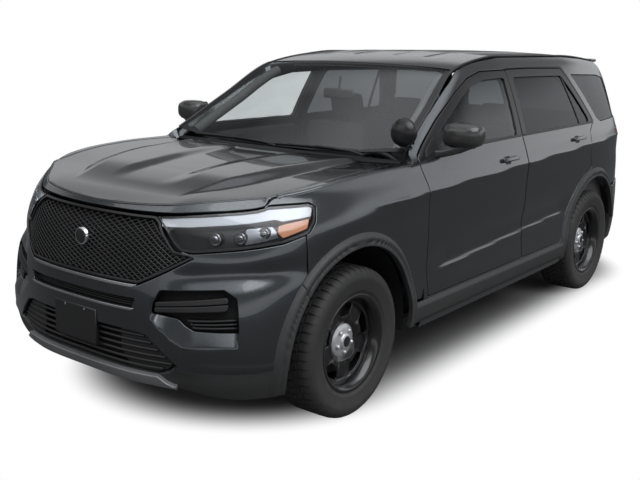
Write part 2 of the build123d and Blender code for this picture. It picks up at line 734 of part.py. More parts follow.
# Floor pan with tunnel, bulkhead, wheelhouses and load floor
with BuildPart() as floor:
    add(box(-1040, 1100, -800, 800, 300, 330))
    add(box(-455, 1000, -120, 120, 330, 420))
    add(box(1060, 1085, -900, 900, 330, 1120))
    add(box(-1040, -1000, -800, 800, 330, 620))
    add(box(-2262, -1000, -800, 800, 590, 620))
    add(box(-2262, -2230, -700, 700, 420, 755))
    for y in (-800, 560):
        add(cross_bar(rear_axle_x, wheel_z, house_r + 8, y, y + 240))
    for y in (-900, 590):
        add(cross_bar(rear_axle_x, wheel_z, house_r, y, y + 310), mode=Mode.SUBTRACT)
    for y in (-900, 480):
        add(cross_bar(front_axle_x, wheel_z, house_r, y, y + 420), mode=Mode.SUBTRACT)
    add(box(-1960, -1041, -640, 640, -300, 589), mode=Mode.SUBTRACT)
    add(box(-1940, -1060, -480, 480, 610, load_floor_z))
    add(box(-3000, 2000, -900, 900, -300, 300), mode=Mode.SUBTRACT)
    add(body_side.part, mode=Mode.SUBTRACT)
    add(body_side_right, mode=Mode.SUBTRACT)
    with BuildSketch(Plane.YZ.offset(-2400)):
        with Locations((-500, 480), (500, 480)):
            Circle(38)
    extrude(amount=200, mode=Mode.SUBTRACT)
save(floor.part, "floor_pan")

# Front rails, strut towers, aprons and radiator panel
with BuildPart() as nose_frame:
    for side in (-1, 1):
        y0 = min(side * 340, side * 420)
        add(box(1085, 2300, y0, y0 + 80, 420, 520))
        y1 = min(side * 420, side * 660)
        add(box(front_axle_x - 90, front_axle_x + 90, y1, y1 + 240, 900, 930))
        add(box(front_axle_x - 90, front_axle_x + 90, y0, y0 + 80, 520, 930))
        y2 = min(side * 640, side * 700)
        add(box(1085, 2120, y2, y2 + 60, 900, 990))
        add(box(2080, 2120, min(side * 340, side * 700), max(side * 340, side * 700), 900, 960))
    add(box(2240, 2300, -420, 420, 420, 520))
    add(box(2250, 2290, -420, 420, 520, 900))
    add(box(2120, 2300, -420, 420, 900, 960))
    add(box(2080, 2120, -420, 420, 900, 960))
save(nose_frame.part, "front_frame")

# Cowl under the windscreen with the hood hinge halves
with BuildPart() as cowl:
    add(box(1000, 1085, -830, 830, 1120, 1150))
    for y in (-780, 780):
        for side in (-1, 1):
            a = y + side * 16
            b = y + side * 34
            add(box(1026, 1054, min(a, b), max(a, b), 1145, 1170))
        add(cross_bar(1040, 1163, 6, y - 30, y + 30))
save(cowl.part, "cowl")

# Engine as a plain block
save(box(1500, 2050, -300, 300, 300, 980), "engine_block")

# Cabin
with BuildPart() as dash:
    add(box(760, 1060, -740, 740, 780, 1120))
    add(box(640, 760, -740, 740, 880, 1090))
    add(box(0, 760, -110, 110, 420, 800))
save(dash.part, "dashboard")
wheel_tilt = Plane(origin=(520, 370, 1010), x_dir=(0, 1, 0), z_dir=(-0.9, 0, 0.44))
with BuildPart() as steering:
    with BuildSketch(wheel_tilt):
        Circle(185)
        Circle(155, mode=Mode.SUBTRACT)
        Rectangle(330, 34)
        with Locations((0, -80)):
            Rectangle(34, 160)
        Circle(60)
    extrude(amount=26)
    with BuildSketch(wheel_tilt):
        Circle(28)
    extrude(amount=-180)
    add(dash.part, mode=Mode.SUBTRACT)
save(steering.part, "steering_wheel")
with BuildPart() as seats:
    for y in (-370, 370):
        add(box(-60, 470, y - 260, y + 260, 520, 650))
        add(box(0, 400, y - 200, y + 200, 330, 520))
        add(side_prism([(-60, 640), (70, 640), (-60, 1290), (-150, 1290)], y - 250, y + 250))
        add(side_prism([(-115, 1285), (-70, 1285), (-80, 1460), (-160, 1460)], y - 130, y + 130))
save(seats.part, "front_seats")
with BuildPart() as bench:
    add(box(-900, -400, -620, 620, 500, 640))
    add(box(-900, -460, -600, 600, 330, 500))
    add(side_prism([(-900, 630), (-780, 630), (-900, 1230), (-990, 1230)], -620, 620))
    for y in (-380, 380):
        add(side_prism([(-965, 1225), (-915, 1225), (-925, 1390), (-1000, 1390)], y - 120, y + 120))
save(bench.part, "rear_bench")

# Side cladding: arch rings and sill strip
with BuildPart() as clad:
    add(side_slab([2200, 2040, 1900, 1608, 950, -200, -300, -1300, -1417, -1900, -2085],
                  (-22.0, 0.0, 0.0), (8.0, 0.0, 0.0), 7))
    with BuildSketch(Plane.XZ.offset(-500)):
        with Locations((front_axle_x, wheel_z)):
            Circle(clad_r)
        with Locations((rear_axle_x, wheel_z)):
            Circle(clad_r)
        with Locations(((front_axle_x + rear_axle_x) / 2, 395.5)):
            Rectangle(wheelbase - 700, 141)
    extrude(amount=-700, mode=Mode.INTERSECT)
    add(cross_bar(front_axle_x, wheel_z, arch_r, 300, 1200), mode=Mode.SUBTRACT)
    add(cross_bar(rear_axle_x, wheel_z, arch_r, 300, 1200), mode=Mode.SUBTRACT)
    add(box(-3000, 3000, 300, 1200, 0, 325), mode=Mode.SUBTRACT)
    for piece in (fender.part, bumper.part, rear_bumper.part, body_side.part):
        add(piece, mode=Mode.SUBTRACT)
save_pair(clad.part, "side_cladding")

# Door mirrors
with BuildPart() as door_mirror:
    add(box(760, 838, 905, 985, 1212, 1275))
    add(box(680, 800, 935, 1133, 1262, 1405))
    add(door_l, mode=Mode.SUBTRACT)
save_left_right(door_mirror.part, "mirror_left", "mirror_right")

# Spotlight on the driver's pillar
with BuildPart() as spot:
    with BuildSketch(Plane.YZ.offset(990)):
        with Locations((835, 1358)):
            Circle(76)
    extrude(amount=100)
    add(cross_bar(980, 1300, 12, 815, 850))
    with BuildSketch(Plane.YZ.offset(968)):
        with Locations((850, 1320)):
            Rectangle(24, 60)
    extrude(amount=24)
    add(body_side.part, mode=Mode.SUBTRACT)
    add(windscreen.part, mode=Mode.SUBTRACT)
save(spot.part, "spotlight")

# Blank plate bracket
with BuildPart() as bracket:
    add(box(2519, 2525, -165, 165, 392, 606))
    add(plate_bolts, mode=Mode.SUBTRACT)
save(bracket.part, "plate_bracket")

# Exhaust under the floor
with BuildPart() as exhaust:
    add(box(-2180, -1980, -320, 320, 440, 560))
    add(box(-2150, -2010, -200, -160, 560, 590))
    add(box(-2150, -2010, 160, 200, 560, 590))
    for y in (-520, 520):
        add(cross_bar(-2080, 480, 28, min(y, y * 0.55), max(y, y * 0.55)))
    for side in (-1, 1):
        with BuildSketch(Plane.YZ.offset(-2340)):
            with Locations((side * 500, 480)):
                Circle(30)
        extrude(amount=290)
save(exhaust.part, "exhaust")
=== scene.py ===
"""Finished look of the police patrol car, built over its CAD frame."""

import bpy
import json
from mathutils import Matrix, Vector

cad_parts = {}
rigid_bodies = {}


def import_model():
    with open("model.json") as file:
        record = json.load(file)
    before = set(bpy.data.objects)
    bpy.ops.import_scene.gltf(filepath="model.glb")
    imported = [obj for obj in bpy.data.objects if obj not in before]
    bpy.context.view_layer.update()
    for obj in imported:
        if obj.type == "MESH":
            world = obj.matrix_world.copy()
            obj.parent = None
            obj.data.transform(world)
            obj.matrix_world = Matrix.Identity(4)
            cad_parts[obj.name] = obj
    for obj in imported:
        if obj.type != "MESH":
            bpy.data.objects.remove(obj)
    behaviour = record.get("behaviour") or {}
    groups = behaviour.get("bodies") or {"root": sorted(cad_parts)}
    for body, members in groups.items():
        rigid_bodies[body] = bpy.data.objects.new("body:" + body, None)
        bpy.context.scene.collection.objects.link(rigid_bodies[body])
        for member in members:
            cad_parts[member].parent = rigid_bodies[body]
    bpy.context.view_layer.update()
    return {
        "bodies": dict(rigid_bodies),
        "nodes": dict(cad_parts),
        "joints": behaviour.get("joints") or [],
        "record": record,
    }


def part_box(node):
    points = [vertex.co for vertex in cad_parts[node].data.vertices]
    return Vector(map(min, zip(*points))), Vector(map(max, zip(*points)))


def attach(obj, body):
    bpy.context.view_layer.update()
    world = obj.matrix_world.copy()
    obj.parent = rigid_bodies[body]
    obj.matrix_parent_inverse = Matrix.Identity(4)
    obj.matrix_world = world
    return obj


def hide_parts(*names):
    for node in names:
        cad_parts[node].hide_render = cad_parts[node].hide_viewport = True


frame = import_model()

import json
import logging
import math
from dataclasses import dataclass, field
from enum import Enum
from itertools import product
from typing import Callable, Iterable, Sequence

import bpy
import numpy as np
from mathutils import Matrix, Vector
from mathutils.geometry import delaunay_2d_cdt

LOG = logging.getLogger("patrol_car")
MM = 0.001
Array = np.ndarray
Point = tuple[float, float]

# Main places of the CAD frame, in millimetres
FRONT_AXLE = 1608.0
REAR_AXLE = -1417.0
WHEEL_Z = 380.0
WHEEL_Y = 846.0
ARCH_EDGE = 489.0
BELT = 1240.0
SEAM_X = 1975.0
GRID = 5.0

# Half outlines of the lower body: height, then (x, y) from the nose centre back
HULL: list[tuple[float, list[Point]]] = [
    (230, [(2440, 0), (2420, 360), (2350, 600), (2210, 810), (2040, 905), (1608, 905), (950, 905),
           (-200, 905), (-1300, 905), (-1417, 905), (-1900, 880), (-2270, 790)]),
    (330, [(2494, 0), (2475, 360), (2400, 600), (2250, 830), (2060, 945), (1608, 958), (950, 958),
           (-200, 958), (-1300, 955), (-1417, 955), (-1900, 930), (-2270, 822)]),
    (470, [(2516, 0), (2492, 363), (2415, 610), (2260, 850), (2060, 960), (1608, 978), (950, 975),
           (-200, 978), (-1300, 978), (-1417, 978), (-1900, 950), (-2270, 842)]),
    (620, [(2519, 0), (2490, 363), (2405, 610), (2250, 845), (2050, 955), (1608, 972), (950, 962),
           (-200, 962), (-1300, 972), (-1417, 975), (-1900, 948), (-2270, 842)]),
    (850, [(2490, 0), (2450, 380), (2365, 580), (2210, 810), (2030, 935), (1608, 975), (950, 970),
           (-200, 972), (-1300, 976), (-1417, 976), (-1900, 945), (-2270, 822)]),
    (1000, [(2445, 0), (2400, 400), (2320, 570), (2170, 780), (1990, 925), (1608, 972), (950, 974),
            (-200, 980), (-1300, 978), (-1417, 976), (-1900, 942), (-2270, 817)]),
    (1060, [(2400, 0), (2350, 420), (2270, 580), (2130, 770), (1950, 905), (1608, 955), (950, 968),
            (-200, 978), (-1300, 976), (-1417, 974), (-1900, 940), (-2270, 812)]),
    (1160, [(2350, 0), (2300, 420), (2200, 580), (2050, 760), (1900, 870), (1608, 915), (950, 935),
            (-200, 955), (-1300, 965), (-1417, 963), (-1900, 930), (-2270, 790)]),
    (1240, [(2350, 0), (2300, 420), (2200, 580), (2050, 760), (1900, 860), (1608, 900), (950, 905),
            (-200, 925), (-1300, 935), (-1417, 933), (-1900, 905), (-2270, 755)]),
]

# Roof edge: x, half width, height of the edge, height of the centre
ROOF = [
    (1180, 868, 1178, 1215), (1060, 850, 1248, 1286), (700, 785, 1452, 1487), (320, 705, 1660, 1688),
    (0, 672, 1713, 1740), (-300, 657, 1736, 1757), (-1300, 655, 1734, 1755), (-2085, 622, 1690, 1716),
    (-2270, 600, 1665, 1690),
]

# Side above the belt: share of the height, share of the way in
TUMBLE = [(0.0, 0.0), (0.13, 0.09), (0.55, 0.42), (0.85, 0.70), (0.95, 0.82), (1.0, 1.0)]

# Hood: x, height at y = 0, 450 and 900
HOOD = [
    (2412, 1076, 1084, 1050), (2200, 1116, 1120, 1112), (2019, 1139, 1142, 1144),
    (1807, 1164, 1166, 1176), (1600, 1180, 1182, 1193), (1330, 1187, 1188, 1203),
    (1020, 1186, 1188, 1203),
]

# Liftgate: z, x at y = 0, x at y = 500, x at the edge, half width, x of the inner face
GATE = [
    (766, -2462, -2436, -2330, 790, -2279), (1000, -2430, -2402, -2322, 788, -2279),
    (1160, -2402, -2372, -2315, 775, -2279), (1240, -2380, -2350, -2300, 752, -2262),
    (1450, -2290, -2262, -2215, 675, -2178), (1650, -2200, -2175, -2130, 600, -2098),
    (1700, -2190, -2165, -2125, 585, -2096),
]


def hermite(p: Array, m: Array, i: Array, h: Array, t: Array) -> Array:
    """Cubic curve between neighbouring knots.

    Args:
        p: Values at the knots.
        m: Slopes at the knots.
        i: Knot before each place.
        h: Length of its stretch.
        t: Share of the stretch.

    Returns:
        Values at the places.
    """
    t2 = t * t
    t3 = t2 * t
    start = p[i] * (2 * t3 - 3 * t2 + 1) + m[i] * h * (t3 - 2 * t2 + t)
    return start + p[i + 1] * (3 * t2 - 2 * t3) + m[i + 1] * h * (t3 - t2)


def pchip(xs: Sequence[float], ys: Array, x: Array) -> Array:
    """Monotone cubic curve through points.

    Args:
        xs: Rising places of the points.
        ys: Values at the points, along the first axis.
        x: Places to read.

    Returns:
        Values at x, with any further axes of ys kept.
    """
    xs = np.asarray(xs, float)
    ys = np.asarray(ys, float)
    wide = (1,) * (ys.ndim - 1)
    h = np.diff(xs).reshape((-1,) + wide)
    d = np.diff(ys, axis=0) / h
    m = np.zeros_like(ys)
    w1 = 2 * h[1:] + h[:-1]
    w2 = h[1:] + 2 * h[:-1]
    with np.errstate(divide="ignore", invalid="ignore"):
        mid = (w1 + w2) / (w1 / d[:-1] + w2 / d[1:])
    m[1:-1] = np.where(d[:-1] * d[1:] > 0, mid, 0.0)
    m[0] = d[0]
    m[-1] = d[-1]
    x = np.clip(np.asarray(x, float), xs[0], xs[-1])
    i = np.clip(np.searchsorted(xs, x, side="right") - 1, 0, len(xs) - 2)
    step = np.diff(xs)[i]
    return hermite(ys, m, i, step.reshape(x.shape + wide), ((x - xs[i]) / step).reshape(x.shape + wide))


def soften(values: Array, sigma: float, axis: int) -> Array:
    """Gaussian blur along one axis, with the ends held.

    Args:
        values: Samples on an even grid.
        sigma: Width of the blur in samples.
        axis: Axis to blur.

    Returns:
        The blurred samples.
    """
    reach = int(3 * sigma) + 1
    k = np.exp(-0.5 * (np.arange(-reach, reach + 1) / sigma) ** 2)
    k /= k.sum()
    v = np.moveaxis(values, axis, 0)
    first = 2 * v[:1] - v[reach:0:-1]
    last = 2 * v[-1:] - v[-2 : -reach - 2 : -1]
    padded = np.concatenate([first, v, last])
    out = sum(k[j] * padded[j : j + len(v)] for j in range(len(k)))
    return np.moveaxis(out, 0, axis)


@dataclass
class Grid:
    """Even grid of values read by straight lines.

    Attributes:
        u0: First place along the first axis.
        v0: First place along the second axis.
        values: Samples, with any vector as the last axis.
    """

    u0: float
    v0: float
    values: Array

    def at(self, u: Array, v: Array) -> Array:
        """Read the grid.

        Args:
            u: Places along the first axis.
            v: Places along the second axis.

        Returns:
            Values at the places.
        """
        nu, nv = self.values.shape[:2]
        a = np.clip((np.asarray(u, float) - self.u0) / GRID, 0, nu - 1.001)
        b = np.clip((np.asarray(v, float) - self.v0) / GRID, 0, nv - 1.001)
        i, j = a.astype(int), b.astype(int)
        w = self.values
        fa, fb = ((f[..., None] if w.ndim == 3 else f) for f in (a - i, b - j))
        near = w[i, j] * (1 - fa) + w[i + 1, j] * fa
        return near * (1 - fb) + (w[i, j + 1] * (1 - fa) + w[i + 1, j + 1] * fa) * fb


def columns(table: Sequence[Sequence[float]]) -> list[Array]:
    """Columns of a table of numbers, in rising order of the first.

    Args:
        table: Rows of the table.

    Returns:
        The columns.
    """
    return list(np.array(sorted(table), float).T)


def bump(t: Array) -> Array:
    """Smooth rise.

    Args:
        t: Place along the rise.

    Returns:
        0 up to t = 0, and 1 from t = 1.
    """
    t = np.clip(t, 0.0, 1.0)
    return t * t * (3 - 2 * t)


def stacked(*parts: Array) -> Array:
    """Places from their three coordinates.

    Args:
        parts: x, y and z, each of the same shape.

    Returns:
        Places with the coordinates as the last axis.
    """
    return np.stack([np.asarray(part, float) for part in parts], axis=-1)


class Surface:
    """A body surface read by two numbers."""

    sign: float = 1.0

    def point(self, u: Array, v: Array) -> Array:
        """Place on the surface.

        Args:
            u: First number of each place.
            v: Second number of each place.

        Returns:
            Places in millimetres.
        """
        raise NotImplementedError(f"no points for {np.shape(u)} and {np.shape(v)}")

    def normal(self, u: Array, v: Array) -> Array:
        """Outward unit normal, by small differences.

        Args:
            u: First number of each place.
            v: Second number of each place.

        Returns:
            Unit vectors.
        """
        e = 4.0
        a = self.point(u + e, v) - self.point(u - e, v)
        b = self.point(u, v + e) - self.point(u, v - e)
        n = np.cross(a, b) * self.sign
        return n / np.maximum(np.linalg.norm(n, axis=-1, keepdims=True), 1e-9)

    def spot(self, u: float, v: float) -> tuple[Array, Array]:
        """One place and its normal.

        Args:
            u: First number of the place.
            v: Second number of the place.

        Returns:
            The place and the unit normal.
        """
        a, b = np.array([float(u)]), np.array([float(v)])
        return self.point(a, b)[0], self.normal(a, b)[0]

    def sign_of_net(self, flat: Array, tris: Array) -> float:
        """Whether counter-clockwise triangles face the way of the surface's normals.

        Args:
            flat: Places as read by the surface.
            tris: Corners of the triangles.

        Returns:
            1 or -1.
        """
        t = flat[tris[:: max(1, len(tris) // 40)]]
        p = self.point(t[..., 0], t[..., 1])
        mid = t.mean(axis=1)
        face = np.cross(p[:, 1] - p[:, 0], p[:, 2] - p[:, 0])
        return float(np.sign(np.sum(face * self.normal(mid[:, 0], mid[:, 1]))))


class SideSurface(Surface):
    """Left side of the car, read by x and z."""

    sign = -1.0

    def __init__(self) -> None:
        """Sample the side on an even grid with its creases."""
        xs = np.arange(-2330.0, 2100.1, GRID)
        zs = np.arange(225.0, 1760.1, GRID)
        backs = [np.array(row[3:][::-1], float) for _, row in HULL]
        low = np.array([pchip(p[:, 0], p[:, 1], xs) for p in backs])
        low_z = [row[0] for row in HULL]
        rx, half, edge, _ = columns(ROOF)
        edge_y = pchip(rx, half, xs)
        edge_z = np.maximum(pchip(rx, edge, xs), BELT + 8)
        out = np.zeros((len(xs), len(zs)))
        for i in range(len(xs)):
            belt = low[-1, i]
            y = [*low[:, i], *(belt + inward * (edge_y[i] - belt) for _, inward in TUMBLE[1:])]
            z = [*low_z, *(BELT + up * (edge_z[i] - BELT) for up, _ in TUMBLE[1:])]
            out[i] = pchip(z, np.array(y), zs)
            slope = (y[-1] - y[-2]) / max(z[-1] - z[-2], 4.0)
            above = zs > z[-1]
            out[i, above] = y[-1] + slope * (zs[above] - z[-1])
        self.grid = Grid(xs[0], zs[0], soften(soften(out, 5.0, 1), 7.0, 0))

    def relief(self, x: Array, z: Array) -> Array:
        """Creases pressed into the side, outward in millimetres.

        Args:
            x: Places along the car.
            z: Heights.

        Returns:
            Outward move at each place.
        """
        shoulder = 1052.0 + (1000.0 - x) * 0.028
        t = (z - shoulder) / 26.0
        crease = 7.0 * np.exp(-np.abs(t) * 1.15) * bump((1650.0 - x) / 500.0) * bump((x + 2250.0) / 250.0)
        under = -6.0 * np.exp(-(((z - shoulder + 120.0) / 70.0) ** 2)) * bump((1250.0 - x) / 400.0)
        fold_z = 640.0 + (600.0 - x) * 0.045
        window = bump((980.0 - x) / 260.0) * bump((x + 1020.0) / 260.0)
        scallop = -9.0 * np.exp(-(((z - fold_z - 40.0) / 58.0) ** 2)) * window
        lip = 5.0 * np.exp(-(((z - fold_z + 34.0) / 15.0) ** 2)) * window
        return crease + under + scallop + lip

    def point(self, u: Array, v: Array) -> Array:
        """Place on the side at x = u and z = v.

        Args:
            u: First number of each place.
            v: Second number of each place.

        Returns:
            Places in millimetres.
        """
        return stacked(u, self.grid.at(u, v) + self.relief(u, v), v)


@dataclass
class PlainSide(Surface):
    """The side without its creases, for what lies behind it.

    Attributes:
        grid: Samples of the side.
    """

    grid: Grid
    sign = -1.0

    def point(self, u: Array, v: Array) -> Array:
        """Place behind the side at x = u and z = v.

        Args:
            u: First number of each place.
            v: Second number of each place.

        Returns:
            Places in millimetres.
        """
        return stacked(u, self.grid.at(u, v), v)


class WrapSurface(Surface):
    """Front of the car from the middle of the nose round to the side.

    Read by a length along the front and a height. Lengths over u0 run back along the side.
    """

    u0 = 1250.0
    seam = SEAM_X
    way = -1.0
    knots = (0.0, 0.29, 0.50, 0.75, 1.0)
    first = (0.0, 1.15)
    top = 1245.0

    def __init__(self, side: SideSurface) -> None:
        """Sample the wrap.

        Args:
            side: The side surface that it runs into.
        """
        self.side = side
        us = np.arange(0.0, self.u0 + 0.1, GRID)
        zs = np.arange(225.0, self.top + 0.1, GRID)
        seam = np.full(len(zs), self.seam)
        end = side.point(seam, zs)[:, :2]
        slope = (side.point(seam + 20.0, zs)[:, :2] - end) * self.way / 20.0
        rows = self.outlines(zs)
        out = np.zeros((len(us), len(zs), 3))
        for j, z in enumerate(zs):
            points = np.vstack([rows[j], end[j]])
            out[:, j, :2] = clamped_spline(np.array(self.knots) * self.u0, points, self.first, slope[j], us)
            out[:, j, 2] = z
        self.grid = Grid(0.0, zs[0], out)

    def outlines(self, z: Array) -> Array:
        """Knots of the front at each height.

        Args:
            z: Heights.

        Returns:
            Four points for each height.
        """
        rows = pchip([row[0] for row in HULL], np.array([row[1][:4] for row in HULL], float), z)
        return soften(rows, 4.0, 0)

    def point(self, u: Array, v: Array) -> Array:
        """Place on the wrap at length u and height v.

        Args:
            u: First number of each place.
            v: Second number of each place.

        Returns:
            Places in millimetres.
        """
        u = np.asarray(u, float)
        v = np.asarray(v, float)
        front = self.grid.at(np.clip(u, 0.0, self.u0), v)
        side = self.side.point(self.seam + self.way * (u - self.u0), v)
        neg = self.grid.at(np.clip(-u, 0.0, self.u0), v) * np.array([1.0, -1.0, 1.0])
        out = np.where((u > self.u0)[..., None], side, front)
        out = np.where((u < 0)[..., None], neg, out)
        out[..., 2] = v
        return out

    def length_at(self, z: float, value: float, read: Callable[[Array], Array]) -> float:
        """Length along the wrap where a reading takes a value.

        Args:
            z: Height.
            value: Value wanted.
            read: Function of the points that rises along the wrap.

        Returns:
            The length.
        """
        u = np.linspace(0.0, self.u0 + 500.0, 351)
        got = read(self.point(u, np.full(len(u), z)))
        return float(np.interp(value, got, u))

    def uy(self, y: float, z: float) -> Point:
        """Place read by its distance from the middle.

        Args:
            y: Distance to the left, or to the right when negative.
            z: Height.

        Returns:
            Length and height.
        """
        return (math.copysign(self.length_at(z, abs(y), lambda p: p[..., 1]), y), z)

    def ux(self, x: float, z: float) -> Point:
        """Place read by where it is along the car.

        Args:
            x: Place along the car.
            z: Height.

        Returns:
            Length and height.
        """
        return (self.length_at(z, self.way * x, lambda p: self.way * p[..., 0]), z)


def clamped_spline(t: Array, p: Array, first: Sequence[float], last: Array, x: Array) -> Array:
    """Cubic spline with given end slopes.

    Args:
        t: Rising knots.
        p: Points at the knots.
        first: Slope at the first knot.
        last: Slope at the last knot.
        x: Places to read.

    Returns:
        Points at x.
    """
    n = len(t)
    h = np.diff(t)
    a = np.zeros((n, n))
    b = np.zeros((n, p.shape[1]))
    a[0, 0] = a[-1, -1] = 1.0
    b[0] = first
    b[-1] = last
    for i in range(1, n - 1):
        a[i, i - 1 : i + 2] = 1 / h[i - 1], 2 / h[i - 1] + 2 / h[i], 1 / h[i]
        b[i] = 3 * ((p[i] - p[i - 1]) / h[i - 1] ** 2 + (p[i + 1] - p[i]) / h[i] ** 2)
    i = np.clip(np.searchsorted(t, x, side="right") - 1, 0, n - 2)
    return hermite(p, np.linalg.solve(a, b), i, h[i][:, None], ((x - t[i]) / h[i])[:, None])


@dataclass
class Sheet(Surface):
    """Surface given by its height over a flat patch.

    Attributes:
        height: Height for each place on the patch.
        low: Lowest corner of the patch.
        high: Highest corner of the patch.
        blur: Softening in grid steps.
        relief: Forms pressed into it, outward in millimetres.
        back: Whether it is the car's back, read by y and z, and not a top read by x and y.
    """

    height: Callable[[Array, Array], Array]
    low: Point
    high: Point
    blur: float
    relief: Callable[[Array, Array], Array] | None = None
    back: bool = False

    def __post_init__(self) -> None:
        """Sample the height over the patch."""
        self.sign = -1.0 if self.back else 1.0
        us, vs = (np.arange(a, b + 0.1, GRID) for a, b in zip(self.low, self.high))
        samples = self.height(*np.meshgrid(us, vs, indexing="ij"))
        self.grid = Grid(us[0], vs[0], soften(soften(samples, self.blur, 0), self.blur, 1))

    def point(self, u: Array, v: Array) -> Array:
        """Place on the sheet at u and v.

        Args:
            u: First number of each place.
            v: Second number of each place.

        Returns:
            Places in millimetres.
        """
        out = self.grid.at(u, v)
        if self.relief is not None:
            out = out + self.sign * self.relief(u, v)
        return stacked(out, u, v) if self.back else stacked(u, v, out)


@dataclass
class Raised(Surface):
    """A surface moved along its own normals.

    Attributes:
        base: The surface it follows.
        move: Outward move in millimetres, even or by place.
    """

    base: Surface
    move: float | Callable[[Array, Array], Array]

    def __post_init__(self) -> None:
        """Take over the way round of the base."""
        self.sign = self.base.sign

    def point(self, u: Array, v: Array) -> Array:
        """Place on the moved surface.

        Args:
            u: First number of each place.
            v: Second number of each place.

        Returns:
            Places in millimetres.
        """
        m = self.move(u, v) if callable(self.move) else np.full(np.shape(u), float(self.move))
        return self.base.point(u, v) + self.base.normal(u, v) * m[..., None]


def area_of(loop: Array) -> float:
    """Twice the area inside an outline.

    Args:
        loop: Points of the outline.

    Returns:
        The area, negative when the outline runs clockwise.
    """
    ahead = np.roll(loop, -1, axis=0)
    return float(np.sum(loop[:, 0] * ahead[:, 1] - ahead[:, 0] * loop[:, 1]))


def rounded(points: Sequence[Point], radius: float, step: float) -> Array:
    """Closed outline with rounded corners and evenly cut edges.

    Args:
        points: Corners, either way round.
        radius: Size of the rounding.
        step: Longest cut.

    Returns:
        Points of the outline, counter-clockwise.
    """
    p = np.asarray(points, float)
    if area_of(p) < 0:
        p = p[::-1]
    n = len(p)
    out: list[Array] = []
    for i in range(n):
        a, b, c = p[i - 1], p[i], p[(i + 1) % n]
        la, lc = np.linalg.norm(a - b), np.linalg.norm(c - b)
        cut = min(radius, 0.45 * la, 0.45 * lc)
        s = b + (a - b) / la * cut
        e = b + (c - b) / lc * cut
        if out:
            out.extend(_cuts(out[-1], s, step))
        turn = 1 - abs(np.dot(b - a, c - b) / (la * lc))
        k = 2 if turn < 0.002 else 7
        for t in np.linspace(0, 1, k):
            out.append(s * (1 - t) ** 2 + b * 2 * t * (1 - t) + e * t * t)
    out.extend(_cuts(out[-1], out[0], step))
    q = np.array(out)
    keep = np.linalg.norm(q - np.roll(q, 1, axis=0), axis=1) > 0.6
    return q[keep]


def _cuts(a: Array, b: Array, step: float) -> list[Array]:
    """Points strictly between a and b, no more than a step apart.

    Args:
        a: Start of the stretch.
        b: End of the stretch.
        step: Longest spacing.

    Returns:
        The points.
    """
    count = int(np.linalg.norm(b - a) / step)
    return [a + (b - a) * k / (count + 1) for k in range(1, count + 1)]


def inside(points: Array, loop: Array) -> Array:
    """Whether each point lies in a closed outline.

    Args:
        points: Places to test.
        loop: Points of the outline.

    Returns:
        True for each point inside.
    """
    x, y = points[:, 0], points[:, 1]
    hit = np.zeros(len(points), bool)
    for (x0, y0), (x1, y1) in zip(loop, np.roll(loop, -1, axis=0)):
        if y0 == y1:
            continue
        cross = (y0 > y) != (y1 > y)
        hit ^= cross & (x < (x1 - x0) * (y - y0) / (y1 - y0) + x0)
    return hit


def far_from(points: Array, loop: Array, least: float) -> Array:
    """Whether each point is at least a distance away from an outline's edges.

    Args:
        points: Places to test.
        loop: Points of the outline.
        least: Smallest distance.

    Returns:
        True for each point far enough away.
    """
    ok = np.ones(len(points), bool)
    for a, b in zip(loop, np.roll(loop, -1, axis=0)):
        box_lo = np.minimum(a, b) - least
        box_hi = np.maximum(a, b) + least
        near = np.all((points > box_lo) & (points < box_hi), axis=1) & ok
        if not near.any():
            continue
        d = b - a
        q = points[near] - a
        t = np.clip(q @ d / max(d @ d, 1e-9), 0, 1)
        ok[np.where(near)[0][np.linalg.norm(q - t[:, None] * d, axis=1) < least]] = False
    return ok


@dataclass
class Mesh:
    """Plain mesh data in millimetres.

    Attributes:
        verts: Places.
        faces: Corners of each face.
        mats: Material number of each face.
        normals: Shading direction for each place, or None to take them from the faces.
    """

    verts: Array
    faces: list[tuple[int, ...]]
    mats: list[int] = field(default_factory=list)
    normals: Array | None = None

    def mirrored(self) -> "Mesh":
        """The same mesh on the other side of the car.

        Returns:
            The mirror image.
        """
        flip = np.array([1.0, -1.0, 1.0])
        normals = None if self.normals is None else self.normals * flip
        return Mesh(self.verts * flip, [tuple(reversed(f)) for f in self.faces], list(self.mats), normals)

    def on(self, sign: int) -> "Mesh":
        """The mesh on one side of the car.

        Args:
            sign: 1 for the left side that it was made on, -1 for the right.

        Returns:
            The mesh or its mirror image.
        """
        return self if sign > 0 else self.mirrored()

    def moved(self, matrix: Matrix) -> "Mesh":
        """The same mesh carried by a matrix.

        Args:
            matrix: Where it is carried to.

        Returns:
            The moved mesh.
        """
        m = np.array(matrix)
        v = self.verts @ m[:3, :3].T + m[:3, 3]
        n = None if self.normals is None else self.normals @ m[:3, :3].T
        return Mesh(v, list(self.faces), list(self.mats), n)

    def material(self, index: int) -> "Mesh":
        """The same mesh in one material.

        Args:
            index: Material number.

        Returns:
            The mesh.
        """
        return Mesh(self.verts, self.faces, [index] * len(self.faces), self.normals)

    def data(self, name: str) -> bpy.types.Mesh:
        """The mesh in metres, with smooth faces.

        Args:
            name: Name of the data.

        Returns:
            Blender's mesh data.
        """
        data = bpy.data.meshes.new(name)
        data.from_pydata([tuple(v) for v in self.verts * MM], [], [list(map(int, f)) for f in self.faces])
        data.validate()
        data.polygons.foreach_set("use_smooth", np.ones(len(data.polygons), dtype=bool))
        return data


